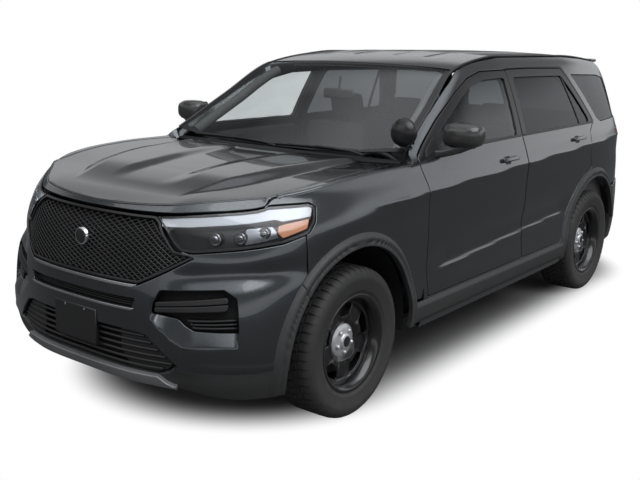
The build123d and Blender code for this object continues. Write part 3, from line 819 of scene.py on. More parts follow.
def joined(parts: Iterable[Mesh]) -> Mesh:
    """Several meshes as one.

    Args:
        parts: Meshes to join.

    Returns:
        One mesh.
    """
    verts: list[Array] = []
    faces: list[tuple[int, ...]] = []
    mats: list[int] = []
    normals: list[Array] = []
    count = 0
    for part in parts:
        verts.append(part.verts)
        faces.extend(tuple(i + count for i in f) for f in part.faces)
        mats.extend(part.mats or [0] * len(part.faces))
        normals.append(np.zeros_like(part.verts) if part.normals is None else part.normals)
        count += len(part.verts)
    return Mesh(np.vstack(verts), faces, mats, np.vstack(normals))


def panel(surface: Surface, outline: Sequence[Point], holes: Sequence[Sequence[Point]] = (),
          thick: float = 12.0, step: float = 16.0, fold: float = 2.5, radius: float = 18.0,
          hole_radius: float = 18.0, zones: Sequence[tuple[Sequence[Point], int]] = (),
          base: int = 0, edge: int | None = None) -> Mesh:
    """A closed sheet of metal or plastic that follows a surface, with its edges folded back.

    Args:
        surface: The surface it follows.
        outline: Corners of the sheet, as read by the surface.
        holes: Corners of its openings.
        thick: How far back the folded edge goes.
        step: Size of its squares.
        fold: Rounding of the edge.
        radius: Rounding of the outline's corners.
        hole_radius: Rounding of the openings' corners.
        zones: Outlines with the material number inside them.
        base: Material number elsewhere.
        edge: Material number of the back, or None for the base's.

    Returns:
        The sheet.
    """
    outer = shrink(rounded(outline, radius, step), fold)
    inner = [shrink(rounded(h, hole_radius, step), -fold) for h in holes]
    marks = [rounded(z, 3.0, step) for z, _ in zones]
    across = [np.arange(a + step * 0.5, b, step) for a, b in zip(outer.min(0), outer.max(0))]
    grid = np.stack(np.meshgrid(*across, indexing="ij"), -1).reshape(-1, 2)
    grid = grid[inside(grid, outer)]
    for loop in inner:
        grid = grid[~inside(grid, loop)]
    loops = [outer, *inner, *marks]
    for loop in loops:
        grid = grid[far_from(grid, loop, step * 0.45)]
    edges: list[tuple[int, int]] = []
    start = 0
    for loop in loops:
        n = len(loop)
        edges.extend((start + i, start + (i + 1) % n) for i in range(n))
        start += n
    got = delaunay_2d_cdt([Vector(c) for c in np.vstack([*loops, grid])], edges, [], 0, 1e-4)
    flat = np.array([tuple(v) for v in got[0]], float)
    tris = np.array([f for f in got[2] if len(f) == 3], int)
    mid = flat[tris].mean(axis=1)
    keep = inside(mid, outer)
    for loop in inner:
        keep &= ~inside(mid, loop)
    turn = np.cross(flat[tris[:, 1]] - flat[tris[:, 0]], flat[tris[:, 2]] - flat[tris[:, 0]])
    keep &= np.abs(turn) > 1e-6
    tris = np.where((turn < 0)[:, None], tris[:, ::-1], tris)[keep]
    mats = np.full(len(tris), base)
    for mark, (_, number) in zip(marks, zones):
        mats[inside(mid[keep], mark)] = number
    used, tris = np.unique(tris, return_inverse=True)
    return thicken(surface, flat[used], tris.reshape(-1, 3), mats, thick, fold, edge)


def shrink(loop: Array, by: float) -> Array:
    """Counter-clockwise outline moved inwards.

    Args:
        loop: Points of the outline.
        by: Distance.

    Returns:
        The moved outline.
    """
    ahead = np.roll(loop, -1, axis=0) - loop
    behind = loop - np.roll(loop, 1, axis=0)
    normal = np.stack([-(ahead + behind)[:, 1], (ahead + behind)[:, 0]], -1)
    normal /= np.maximum(np.linalg.norm(normal, axis=1, keepdims=True), 1e-9)
    return loop + normal * by


def thicken(surface: Surface, flat: Array, tris: Array, mats: Array, thick: float, fold: float,
            edge: int | None) -> Mesh:
    """Give a flat net of triangles its curved front, folded edge and back.

    Args:
        surface: The surface it follows.
        flat: Places as read by the surface.
        tris: Corners of the triangles, counter-clockwise.
        mats: Material number of each triangle.
        thick: Depth of the sheet.
        fold: Rounding of its edge.
        edge: Material number of the back, or None for each triangle's own.

    Returns:
        The closed sheet.
    """
    n = len(flat)
    front = surface.point(flat[:, 0], flat[:, 1])
    normal = surface.normal(flat[:, 0], flat[:, 1])
    seen: dict[tuple[int, int], int] = {}
    for k, (a, b, c) in enumerate(tris):
        for e in ((a, b), (b, c), (c, a)):
            seen[e] = k
    rim = [(a, b, k) for (a, b), k in seen.items() if (b, a) not in seen]
    out = np.zeros((n, 2))
    for a, b, _ in rim:
        d = flat[b] - flat[a]
        w = np.array([d[1], -d[0]]) / max(np.linalg.norm(d), 1e-9)
        out[a] += w
        out[b] += w
    rim_ids = sorted({a for a, _, _ in rim} | {b for _, b, _ in rim})
    place = {v: i for i, v in enumerate(rim_ids)}
    r = np.array(rim_ids)
    out = out[r] / np.maximum(np.linalg.norm(out[r], axis=1, keepdims=True), 1e-9)
    nr = normal[r]
    near = surface.point(flat[r, 0] + out[:, 0] * 2, flat[r, 1] + out[:, 1] * 2)
    way = near - front[r]
    way -= nr * np.sum(way * nr, axis=1, keepdims=True)
    way /= np.maximum(np.linalg.norm(way, axis=1, keepdims=True), 1e-9)
    verts = [front]
    normals = [normal]
    for angle, depth in ((45.0, 0.0), (90.0, 0.0), (90.0, thick - fold)):
        s, c = math.sin(math.radians(angle)), math.cos(math.radians(angle))
        verts.append(front[r] + way * fold * s - nr * (fold * (1 - c) + depth))
        normals.append(nr * c + way * s)
    levels = [n + k * len(r) for k in range(3)]
    core = np.setdiff1d(np.arange(n), r)
    back_of = np.zeros(n, int)
    back_of[r] = levels[-1] + np.arange(len(r))
    back_of[core] = n + 3 * len(r) + np.arange(len(core))
    verts.append(front[core] - normal[core] * thick)
    normals.append(-normal[core])
    v = np.vstack(verts)
    flip = surface.sign_of_net(flat, tris)
    faces: list[tuple[int, ...]] = []
    marks: list[int] = []

    def put(face: tuple[int, ...], mat: int) -> None:
        """Add one face.

        Args:
            face: Corners of the face.
            mat: Slot of its material.
        """
        faces.append(face if flip > 0 else tuple(reversed(face)))
        marks.append(mat)

    for k, (a, b, c) in enumerate(tris):
        put((int(a), int(b), int(c)), int(mats[k]))
        put((int(back_of[c]), int(back_of[b]), int(back_of[a])), int(mats[k] if edge is None else edge))
    for a, b, k in rim:
        i, j = place[a], place[b]
        chain_a = [int(a)] + [lv + i for lv in levels]
        chain_b = [int(b)] + [lv + j for lv in levels]
        for s in range(len(levels)):
            put((chain_b[s], chain_a[s], chain_a[s + 1], chain_b[s + 1]), int(mats[k]))
    return Mesh(v, faces, marks, np.vstack(normals))


def rings(verts: Sequence[Sequence[float]], sides: int) -> Mesh:
    """Closed mesh over rings of points.

    Args:
        verts: Points of all rings, one ring after the other.
        sides: Points in a ring.

    Returns:
        The mesh.
    """
    v = np.array(verts, float)
    faces: list[tuple[int, ...]] = [tuple(range(sides)), tuple(range(len(v) - 1, len(v) - sides - 1, -1))]
    for i in range(0, len(v) - sides, sides):
        for k in range(sides):
            m = (k + 1) % sides
            faces.append((i + k, i + sides + k, i + sides + m, i + m))
    return outward(Mesh(v, faces, [0] * len(faces)))


def block(x0: float, x1: float, y0: float, y1: float, z0: float, z1: float, bevel: float = 4.0) -> Mesh:
    """Box with bevelled edges.

    Args:
        x0: Lowest x.
        x1: Highest x.
        y0: Lowest y.
        y1: Highest y.
        z0: Lowest z.
        z1: Highest z.
        bevel: Size of the bevel.

    Returns:
        The box.
    """
    lo = np.array([x0, y0, z0], float)
    hi = np.array([x1, y1, z1], float)
    b = min(bevel, 0.45 * float((hi - lo).min()))
    verts: list[Array] = []
    index: dict[tuple[int, int, int, int], int] = {}
    for corner in product((0, 1), repeat=3):
        for axis in range(3):
            side = np.array(corner)
            p = np.where(side == 1, hi - b, lo + b)
            p[axis] = hi[axis] if side[axis] else lo[axis]
            index[(*corner, axis)] = len(verts)
            verts.append(p)
    loops = [[(*corner, axis) for axis in range(3)] for corner in product((0, 1), repeat=3)]
    for axis in range(3):
        u, w = [a for a in range(3) if a != axis]

        def key(s: int, du: int, dw: int, face: int) -> tuple[int, ...]:
            """Name of a corner point.

            Args:
                s: End along the axis.
                du: End along the next axis.
                dw: End along the last axis.
                face: Axis of the face that it lies in.

            Returns:
                The three ends and the axis.
            """
            place = [0, 0, 0]
            place[axis], place[u], place[w] = s, du, dw
            return (*place, face)

        loops += [[key(s, du, dw, axis) for du, dw in ((0, 0), (1, 0), (1, 1), (0, 1))] for s in (0, 1)]
        loops += [[key(s, du, dw, face) for s, face in ((0, u), (1, u), (1, w), (0, w))]
                  for du, dw in product((0, 1), repeat=2)]
    faces: list[tuple[int, ...]] = []
    for loop in loops:
        ids = tuple(index[k] for k in loop)
        pts = np.array([verts[q] for q in ids])
        face = np.cross(pts[1] - pts[0], pts[2] - pts[0])
        faces.append(ids if np.dot(face, pts.mean(axis=0) - (lo + hi) / 2) > 0 else ids[::-1])
    return Mesh(np.array(verts), faces, [0] * len(faces))


def lathe(profile: Sequence[Point], centre: tuple[float, float, float], axis: str = "y",
          count: int = 48, mats: Sequence[int] | None = None) -> Mesh:
    """Closed ring or disc turned about an axis.

    Args:
        profile: Radius and place along the axis of each point, closed round. A radius of 0 makes a pole.
        centre: Point on the axis.
        axis: Axis it turns about.
        count: Cuts round it.
        mats: Material number of each stretch of the profile.

    Returns:
        The turned mesh.
    """
    prof = np.asarray(profile, float)
    n = len(prof)
    verts: list[tuple[float, float, float]] = []
    ids = np.zeros((n, count), int)
    for i, (r, h) in enumerate(prof):
        if r < 1e-6:
            ids[i, :] = len(verts)
            verts.append((0.0, h, 0.0))
            continue
        for k in range(count):
            a = 2 * math.pi * k / count
            ids[i, k] = len(verts)
            verts.append((r * math.cos(a), h, r * math.sin(a)))
    faces: list[tuple[int, ...]] = []
    marks: list[int] = []
    for i in range(n):
        j = (i + 1) % n
        for k in range(count):
            m = (k + 1) % count
            ring = [int(q) for q in (ids[i, k], ids[i, m], ids[j, m], ids[j, k])]
            face = tuple(dict.fromkeys(ring))
            if len(face) > 2:
                faces.append(face)
                marks.append(0 if mats is None else mats[i])
    v = np.array(verts)
    if area_of(prof) < 0:
        faces = [tuple(reversed(f)) for f in faces]
    if axis == "x":
        v = v[:, [1, 2, 0]]
    elif axis == "z":
        v = v[:, [2, 0, 1]]
    return Mesh(v + np.array(centre), faces, marks)


def tube(path: Sequence[Sequence[float]], radius: float | Sequence[float], sides: int = 10) -> Mesh:
    """Round bar along a path, with closed ends.

    Args:
        path: Points of its centre line.
        radius: Its radius, even or for each point.
        sides: Cuts round it.

    Returns:
        The bar.
    """
    p = np.asarray(path, float)
    radii = np.full(len(p), float(radius)) if np.isscalar(radius) else np.asarray(radius, float)
    along = np.gradient(p, axis=0)
    along /= np.linalg.norm(along, axis=1, keepdims=True)
    side = np.cross(along[0], [0.0, 0.0, 1.0])
    if np.linalg.norm(side) < 0.1:
        side = np.cross(along[0], [0.0, 1.0, 0.0])
    side /= np.linalg.norm(side)
    verts: list[Array] = []
    for i in range(len(p)):
        side = side - along[i] * np.dot(side, along[i])
        side /= np.linalg.norm(side)
        up = np.cross(side, along[i])
        for k in range(sides):
            a = 2 * math.pi * k / sides
            verts.append(p[i] + radii[i] * (side * math.cos(a) + up * math.sin(a)))
    return rings(verts, sides)


def outward(mesh: Mesh) -> Mesh:
    """The mesh with all faces turned if it is inside out.

    Args:
        mesh: The mesh.

    Returns:
        The mesh.
    """
    total = 0.0
    v = mesh.verts
    for f in mesh.faces:
        for i in range(1, len(f) - 1):
            total += float(np.dot(v[f[0]], np.cross(v[f[i]], v[f[i + 1]])))
    if total < 0:
        mesh.faces = [tuple(reversed(f)) for f in mesh.faces]
    return mesh


def prism(points: Sequence[Point], low: float, high: float, axis: str = "y") -> Mesh:
    """Straight-sided solid over a closed outline.

    Args:
        points: Outline in the plane across the axis: (x, z) for y, (y, z) for x and (x, y) for z.
        low: Lowest place along the axis.
        high: Highest place along the axis.
        axis: Axis it stands along.

    Returns:
        The solid.
    """
    p = np.asarray(points, float)
    n = len(p)
    cols = {"y": (0, 2, 1), "x": (1, 2, 0), "z": (0, 1, 2)}[axis]
    v = np.zeros((2 * n, 3))
    v[:n, cols[0]] = v[n:, cols[0]] = p[:, 0]
    v[:n, cols[1]] = v[n:, cols[1]] = p[:, 1]
    v[:n, cols[2]] = low
    v[n:, cols[2]] = high
    return rings(v, n)


class Slot(Enum):
    """Finish groups of the record."""

    PAINT = "body_paint"
    GLASS = "glass"
    PLASTIC = "black_plastic"
    LAMP = "lamp_clear"
    RED = "lamp_red"
    CLOTH = "seat_cloth"
    UNDER = "underbody"
    CAST = "cast"
    TYRE = "tyre"
    WHEEL = "wheel_steel"


class Grain(Enum):
    """Kinds of fine surface."""

    FLAKE = "flake"
    SMOOTH = "smooth"
    PEBBLE = "pebble"
    WEAVE = "weave"
    CAST = "cast"


@dataclass(frozen=True)
class Finish:
    """One finish.

    Attributes:
        name: Name of the material.
        color: Base colour, linear.
        rough: Roughness.
        metal: Metallic share.
        coat: Clear coat share.
        grain: Kind of fine surface.
        size: Grains per metre.
        bump: Depth of the grain in millimetres.
        vary: Share by which colour and roughness wander.
        clear: Share of light let through.
        dust: Share of pale dust low on the car.
    """

    name: str
    color: tuple[float, float, float]
    rough: float
    metal: float = 0.0
    coat: float = 0.0
    grain: Grain = Grain.SMOOTH
    size: float = 300.0
    bump: float = 0.0
    vary: float = 0.12
    clear: float = 0.0
    dust: float = 0.0


PAINT = Finish("paint", (0.050, 0.056, 0.062), 0.25, 0.80, 1.0, Grain.FLAKE, 620.0, 0.012, 0.10)
GLOSS_BLACK = Finish("gloss_black", (0.009, 0.009, 0.010), 0.30, 0.0, 0.0, Grain.SMOOTH, 90.0, 0.0)
SATIN_BLACK = Finish("satin_black", (0.014, 0.014, 0.015), 0.42, 0.0, 0.0, Grain.PEBBLE, 420.0, 0.03)
PILLAR_TRIM = Finish("pillar_trim", (0.10, 0.10, 0.10), 0.85, grain=Grain.WEAVE, size=700.0, bump=0.04)
MIRROR_BLACK = Finish("mirror_black", (0.034, 0.034, 0.035), 0.30, 0.0, 0.5, Grain.PEBBLE, 420.0, 0.02)
CLADDING = Finish("cladding", (0.030, 0.031, 0.032), 0.55, 0.0, 0.0, Grain.PEBBLE, 520.0, 0.06, 0.16,
                  dust=0.05)
MESH_BLACK = Finish("mesh_black", (0.012, 0.012, 0.013), 0.30, 0.0, 0.2, Grain.PEBBLE, 400.0, 0.02)
# Near-black painted shade: a finish for sheets behind the grille and openings, and for the arch liners,
# darker than black plastic.
PAINTED_SHADE_BLACK = Finish("void", (0.004, 0.004, 0.004), 0.8, vary=0.3)
# Silver strips on the nose ledges stand in for painted highlights; being metal, they also reflect.
PAINTED_HIGHLIGHT_SILVER = Finish("silver", (0.40, 0.41, 0.42), 0.28, 0.9, 0.3, Grain.CAST, 300.0, 0.01)
SKID = Finish("skid", (0.21, 0.215, 0.22), 0.40, 0.4, 0.0, Grain.PEBBLE, 420.0, 0.03)
CHROME = Finish("chrome", (0.72, 0.73, 0.75), 0.08, 1.0, vary=0.05)
CAP = Finish("cap", (0.56, 0.57, 0.59), 0.34, 0.55, 0.4, Grain.CAST, 240.0, 0.01, 0.06)
WHEEL = Finish("wheel", (0.010, 0.010, 0.011), 0.26, 0.1, 0.5, Grain.CAST, 200.0, 0.02)
STEEL = Finish("steel", (0.30, 0.30, 0.31), 0.36, 0.9, 0.0, Grain.CAST, 260.0, 0.03)
RUBBER = Finish("rubber", (0.022, 0.022, 0.022), 0.68, 0.0, 0.0, Grain.PEBBLE, 700.0, 0.05, 0.25, dust=0.10)
SEAL = Finish("seal", (0.008, 0.008, 0.008), 0.5, grain=Grain.PEBBLE, size=500.0, bump=0.02)
DASH = Finish("dash", (0.020, 0.020, 0.021), 0.60, grain=Grain.PEBBLE, size=480.0, bump=0.06)
TRIM = Finish("trim", (0.055, 0.055, 0.058), 0.66, grain=Grain.PEBBLE, size=460.0, bump=0.05)
LINER = Finish("liner", (0.40, 0.40, 0.39), 0.90, grain=Grain.WEAVE, size=700.0, bump=0.04)
CLOTH = Finish("cloth", (0.040, 0.041, 0.044), 0.92, grain=Grain.WEAVE, size=420.0, bump=0.12)
CARPET = Finish("carpet", (0.022, 0.022, 0.023), 0.97, grain=Grain.WEAVE, size=240.0, bump=0.3)
UNDER = Finish("under", (0.020, 0.020, 0.020), 0.75, grain=Grain.CAST, size=120.0, bump=0.2, dust=0.2)
CAST = Finish("cast", (0.16, 0.155, 0.15), 0.55, 0.6, grain=Grain.CAST, size=180.0, bump=0.2)
AMBER = Finish("amber", (0.85, 0.38, 0.20), 0.15, coat=0.6, clear=0.25, vary=0.05)
RED = Finish("red", (0.28, 0.012, 0.016), 0.12, coat=0.8, vary=0.1)
DRL = Finish("drl", (0.52, 0.53, 0.55), 0.22, 0.3, 0.6, vary=0.05)
REFLECTOR = Finish("reflector", (0.30, 0.31, 0.33), 0.16, 1.0, vary=0.05)


class Nodes:
    """Short way to write a node tree."""

    def __init__(self, tree: bpy.types.NodeTree) -> None:
        """Keep the tree.

        Args:
            tree: Tree that the nodes go into.
        """
        self.tree = tree

    @classmethod
    def group(cls, name: str, kind: str, inputs: dict[str, str], outputs: dict[str, str]) -> "Nodes":
        """New node group with its sockets.

        Args:
            name: Name of the group.
            kind: Type of its tree.
            inputs: Type of each input socket.
            outputs: Type of each output socket.

        Returns:
            The empty group.
        """
        tree = bpy.data.node_groups.new(name, kind)
        for way, sockets in (("INPUT", inputs), ("OUTPUT", outputs)):
            for key, word in sockets.items():
                tree.interface.new_socket(key, in_out=way, socket_type="NodeSocket" + word)
        return cls(tree)

    def add(self, kind: str, inputs: dict[str | int, object] | None = None,
            **settings: object) -> bpy.types.Node:
        """Add one node.

        Args:
            kind: Type of the node.
            inputs: Constant or linked output for each input.
            settings: Properties of the node.

        Returns:
            The node.
        """
        node = self.tree.nodes.new(kind)
        for key, value in settings.items():
            setattr(node, key, value)
        self.feed(node, inputs or {})
        return node

    def feed(self, node: bpy.types.Node, inputs: dict[str | int, object]) -> None:
        """Set or link inputs of a node.

        Args:
            node: The node.
            inputs: Constant or linked output for each input.
        """
        for key, value in inputs.items():
            if isinstance(value, bpy.types.NodeSocket):
                self.tree.links.new(value, node.inputs[key])
            else:
                node.inputs[key].default_value = value

    def math(self, operation: str, *values: object, **settings: object) -> bpy.types.NodeSocket:
        """Result of a sum of up to three values.

        Args:
            operation: What is done with them.
            values: Constants or linked outputs.
            settings: Properties of the node.

        Returns:
            The result's socket.
        """
        return self.add("ShaderNodeMath", dict(enumerate(values)), operation=operation,
                        **settings).outputs[0]

    def ramp(self, value: bpy.types.NodeSocket, start: Point, to: Point = (0.0, 1.0),
             kind: str = "LINEAR") -> bpy.types.NodeSocket:
        """Value carried from one range to another.

        Args:
            value: Linked output.
            start: Range that it is read in.
            to: Range that it is carried to.
            kind: Interpolation.

        Returns:
            The result's socket.
        """
        inputs = {"Value": value, "From Min": start[0], "From Max": start[1], "To Min": to[0],
                  "To Max": to[1]}
        return self.add("ShaderNodeMapRange", inputs, interpolation_type=kind).outputs[0]

    def tint(self, factor: object, first: object, second: object,
             blend: str = "MULTIPLY") -> bpy.types.NodeSocket:
        """Two colours mixed.

        Args:
            factor: Share of the mix.
            first: Lower colour.
            second: Upper colour.
            blend: How they mix.

        Returns:
            The result's socket.
        """
        node = self.add("ShaderNodeMix", data_type="RGBA", blend_type=blend)
        self.feed(node, {"Factor": factor, "A": first, "B": second})
        return node.outputs["Result"]

    def blend(self, factor: object, first: bpy.types.Node, second: bpy.types.Node) -> bpy.types.Node:
        """Two shaders mixed.

        Args:
            factor: Share of the second.
            first: First shader.
            second: Second shader.

        Returns:
            The mix.
        """
        return self.add("ShaderNodeMixShader", {0: factor, 1: first.outputs[0], 2: second.outputs[0]})


def linked(name: str, data: bpy.types.ID) -> bpy.types.Object:
    """New object in the scene.

    Args:
        name: Name of the object.
        data: Its mesh, light or camera.

    Returns:
        The object.
    """
    obj = bpy.data.objects.new(name, data)
    bpy.context.scene.collection.objects.link(obj)
    return obj


class Workshop:
    """Makes the materials and turns mesh data into pieces."""

    def __init__(self) -> None:
        """Prepare the shared groups."""
        self.made: dict[str, bpy.types.Material] = {}
        self.wander = self._wander_group()
        self.grains = {kind: self._grain_group(kind) for kind in Grain}

    @staticmethod
    def _wander_group() -> bpy.types.NodeTree:
        """Slow wandering value and a mask of dust low on the car.

        Returns:
            The shader group.
        """
        g = Nodes.group("Wander", "ShaderNodeTree", {"Amount": "Float"}, {"Value": "Float", "Dust": "Float"})
        amount = g.add("NodeGroupInput").outputs["Amount"]
        place = g.add("ShaderNodeTexCoord").outputs["Object"]
        slow = g.add("ShaderNodeTexNoise", {"Vector": place, "Scale": 3.1, "Detail": 5.0})
        fine = g.add("ShaderNodeTexNoise", {"Vector": place, "Scale": 24.0, "Detail": 7.0})
        low = g.ramp(g.add("ShaderNodeSeparateXYZ", {0: place}).outputs["Z"], (0.75, 0.1))
        value = g.math("MULTIPLY_ADD", g.math("SUBTRACT", slow.outputs["Fac"], 0.5), amount, 1.0)
        g.add("NodeGroupOutput", {"Value": value, "Dust": g.math("MULTIPLY", low, fine.outputs["Fac"])})
        return g.tree

    @staticmethod
    def _grain_group(kind: Grain) -> bpy.types.NodeTree:
        """Fine surface as a normal and a mask.

        Args:
            kind: Kind of surface.

        Returns:
            The shader group.
        """
        g = Nodes.group("Grain " + kind.value, "ShaderNodeTree", {"Scale": "Float", "Depth": "Float"},
                        {"Normal": "Vector", "Mask": "Float"})
        given = g.add("NodeGroupInput")
        place = g.add("ShaderNodeTexCoord").outputs["Object"]
        inputs = {"Vector": place, "Scale": given.outputs["Scale"]}
        if kind in (Grain.FLAKE, Grain.PEBBLE):
            tex = g.add("ShaderNodeTexVoronoi", inputs)
            out = tex.outputs["Color" if kind is Grain.FLAKE else "Distance"]
        elif kind is Grain.WEAVE:
            tex = g.add("ShaderNodeTexVoronoi", inputs | {"Randomness": 0.25}, distance="CHEBYCHEV")
            out = tex.outputs["Distance"]
        else:
            out = g.add("ShaderNodeTexNoise", inputs | {"Detail": 6.0}).outputs["Fac"]
        value = g.math("MULTIPLY", out, 1.0)
        bent = g.add("ShaderNodeBump", {"Strength": 1.0, "Height": value,
                                        "Distance": given.outputs["Depth"]})
        g.add("NodeGroupOutput", {"Normal": bent.outputs["Normal"], "Mask": value})
        return g.tree

    def _start(self, name: str) -> tuple[bpy.types.Material, Nodes]:
        """New material that is kept under its name.

        Args:
            name: Name of the material.

        Returns:
            The material and its nodes.
        """
        mat = bpy.data.materials.new(name)
        mat.use_nodes = True
        self.made[name] = mat
        return mat, Nodes(mat.node_tree)

    def material(self, f: Finish) -> bpy.types.Material:
        """Material of a finish, made once.

        Args:
            f: The finish.

        Returns:
            The material.
        """
        if f.name in self.made:
            return self.made[f.name]
        mat, g = self._start(f.name)
        bsdf = g.tree.nodes["Principled BSDF"]
        wander = g.add("ShaderNodeGroup", node_tree=self.wander)
        g.feed(wander, {"Amount": f.vary * 2})
        grain = g.add("ShaderNodeGroup", node_tree=self.grains[f.grain])
        g.feed(grain, {"Scale": f.size, "Depth": max(f.bump, 0.002) * MM})
        color = g.tint(1.0, (*f.color, 1.0), wander.outputs["Value"])
        if f.grain is Grain.FLAKE:
            color = g.tint(1.0, color, g.ramp(grain.outputs["Mask"], (0.25, 0.85), (0.75, 1.6)))
        if f.dust:
            share = g.math("MULTIPLY", wander.outputs["Dust"], f.dust)
            color = g.tint(share, color, (0.30, 0.28, 0.25, 1.0), "MIX")
        g.feed(bsdf, {
            "Base Color": color, "Roughness": g.math("MULTIPLY", wander.outputs["Value"], f.rough),
            "Normal": grain.outputs["Normal"], "Metallic": f.metal, "Coat Weight": f.coat,
            "Coat Roughness": 0.04, "Transmission Weight": f.clear,
        })
        return mat

    def glass(self, name: str, tint: tuple[float, float, float], through: float,
              bend: float = 1.5) -> bpy.types.Material:
        """Thin tinted glass: part mirror by angle, part see-through.

        Args:
            name: Name of the material.
            tint: Colour of what shows through.
            through: Share of smoky film, 0 for none.
            bend: Index of refraction, higher for coated glass.

        Returns:
            The material.
        """
        if name in self.made:
            return self.made[name]
        mat, g = self._start(name)
        g.tree.nodes.clear()
        wander = g.add("ShaderNodeGroup", node_tree=self.wander)
        g.feed(wander, {"Amount": 0.10})
        clear = g.add("ShaderNodeBsdfTransparent",
                      {"Color": g.tint(1.0, (*tint, 1.0), wander.outputs["Value"])})
        film = g.add("ShaderNodeBsdfDiffuse", {"Color": (0.02, 0.022, 0.025, 1.0)})
        gloss = g.add("ShaderNodeBsdfGlossy", {"Roughness": 0.02, "Color": (0.95, 0.97, 1.0, 1.0)})
        edge = g.add("ShaderNodeFresnel", {"IOR": bend}).outputs[0]
        front = g.math("SUBTRACT", 1.0, g.add("ShaderNodeNewGeometry").outputs["Backfacing"], use_clamp=True)
        mix = g.blend(g.math("MULTIPLY", edge, front), g.blend(through, clear, film), gloss)
        g.add("ShaderNodeOutputMaterial", {"Surface": mix.outputs[0]})
        return mat

    def piece(self, name: str, mesh: Mesh, finishes: Sequence["Finish | bpy.types.Material"], body: str,
              slot: Slot, replaces: Sequence[str] = (), crease: float = 38.0) -> bpy.types.Object:
        """Finished piece riding on a body.

        Args:
            name: Name of the piece.
            mesh: Its mesh in millimetres.
            finishes: Finish or material for each material number.
            body: CAD body it rides on.
            slot: Finish group in the record.
            replaces: CAD nodes that it stands for.
            crease: Edges sharper than this many degrees stay sharp.

        Returns:
            The object.
        """
        data = mesh.data(name)
        for f in finishes:
            data.materials.append(self.material(f) if isinstance(f, Finish) else f)
        if mesh.mats and len(data.polygons) == len(mesh.mats):
            data.polygons.foreach_set("material_index", np.array(mesh.mats, dtype=np.int32))
        data.update()
        if mesh.normals is not None and np.abs(mesh.normals).sum() > 0:
            data.normals_split_custom_set_from_vertices([tuple(v) for v in mesh.normals])
        else:
            data.set_sharp_from_angle(angle=math.radians(crease))
        return self.settle(linked(name, data), body, slot, replaces)

    @staticmethod
    def settle(obj: bpy.types.Object, body: str, slot: Slot,
               replaces: Sequence[str] = ()) -> bpy.types.Object:
        """Put a finished object on its body.

        Args:
            obj: The object.
            body: CAD body it rides on.
            slot: Finish group in the record; not used.
            replaces: CAD nodes that it stands for.

        Returns:
            The object.
        """
        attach(obj, body)
        if replaces:
            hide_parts(*replaces)
        return obj

    def bars(self, name: str, paths: Sequence[Array], radius: float, finish: Finish, body: str, slot: Slot,
             sides: int = 5) -> bpy.types.Object:
        """Bars along paths, swept by geometry nodes.

        Args:
            name: Name of the piece.
            paths: Centre lines in millimetres.
            radius: Radius in millimetres.
            finish: Finish of the bars.
            body: CAD body they ride on.
            slot: Finish group in the record.
            sides: Cuts round each bar.

        Returns:
            The object.
        """
        verts: list[tuple[float, ...]] = []
        edges: list[tuple[int, int]] = []
        for path in paths:
            first = len(verts)
            verts.extend(tuple(p * MM) for p in np.asarray(path, float))
            edges.extend((i, i + 1) for i in range(first, len(verts) - 1))
        data = bpy.data.meshes.new(name + "_lines")
        data.from_pydata(verts, edges, [])
        tree = bpy.data.node_groups.get("Bars") or self._bars_tree()
        inputs = {"Radius": radius * MM, "Sides": sides, "Finish": self.material(finish)}
        return self._baked(data, tree, inputs, name, body, slot)

    @staticmethod
    def _finished(g: Nodes, given: bpy.types.Node, shape: bpy.types.Node) -> bpy.types.NodeTree:
        """End of a geometry group: real copies in their finish.

        Args:
            g: Nodes of the group.
            given: Its input node.
            shape: Node that puts out the shape.

        Returns:
            The group.
        """
        real = g.add("GeometryNodeRealizeInstances", {0: shape.outputs[0]})
        done = g.add("GeometryNodeSetMaterial", {"Geometry": real.outputs[0],
                                                 "Material": given.outputs["Finish"]})
        g.add("NodeGroupOutput", {0: done.outputs[0]})
        return g.tree

    def _bars_tree(self) -> bpy.types.NodeTree:
        """Geometry nodes that sweep a ring along every line.

        Returns:
            The group.
        """
        g = Nodes.group("Bars", "GeometryNodeTree",
                        {"Geometry": "Geometry", "Radius": "Float", "Sides": "Int", "Finish": "Material"},
                        {"Geometry": "Geometry"})
        given = g.add("NodeGroupInput")
        line = g.add("GeometryNodeMeshToCurve", {0: given.outputs["Geometry"]})
        ring = g.add("GeometryNodeCurvePrimitiveCircle",
                     {"Radius": given.outputs["Radius"], "Resolution": given.outputs["Sides"]})
        return self._finished(g, given, g.add("GeometryNodeCurveToMesh", {
            "Curve": line.outputs[0], "Profile Curve": ring.outputs["Curve"], "Fill Caps": True}))

    def repeats(self, name: str, unit: Mesh, places: Array, turns: Array, finish: Finish, body: str,
                slot: Slot, crease: float = 38.0) -> bpy.types.Object:
        """Many copies of one small form, laid out by geometry nodes.

        Args:
            name: Name of the piece.
            unit: The small form about the origin, in millimetres.
            places: Where each copy goes, in millimetres.
            turns: Its turn as Euler angles.
            finish: Finish of the copies.
            body: CAD body they ride on.
            slot: Finish group in the record.
            crease: Edges sharper than this many degrees stay sharp.

        Returns:
            The object.
        """
        small = unit.data(name + "_unit")
        small.set_sharp_from_angle(angle=math.radians(crease))
        source = linked(name + "_unit", small)
        data = bpy.data.meshes.new(name + "_points")
        data.from_pydata([tuple(p) for p in np.asarray(places, float) * MM], [], [])
        turn = data.attributes.new("turn", "FLOAT_VECTOR", "POINT")
        turn.data.foreach_set("vector", np.asarray(turns, np.float32).ravel())
        tree = bpy.data.node_groups.get("Repeats") or self._repeats_tree()
        made = self._baked(data, tree, {"Unit": source, "Finish": self.material(finish)}, name, body, slot)
        bpy.data.objects.remove(source)
        return made

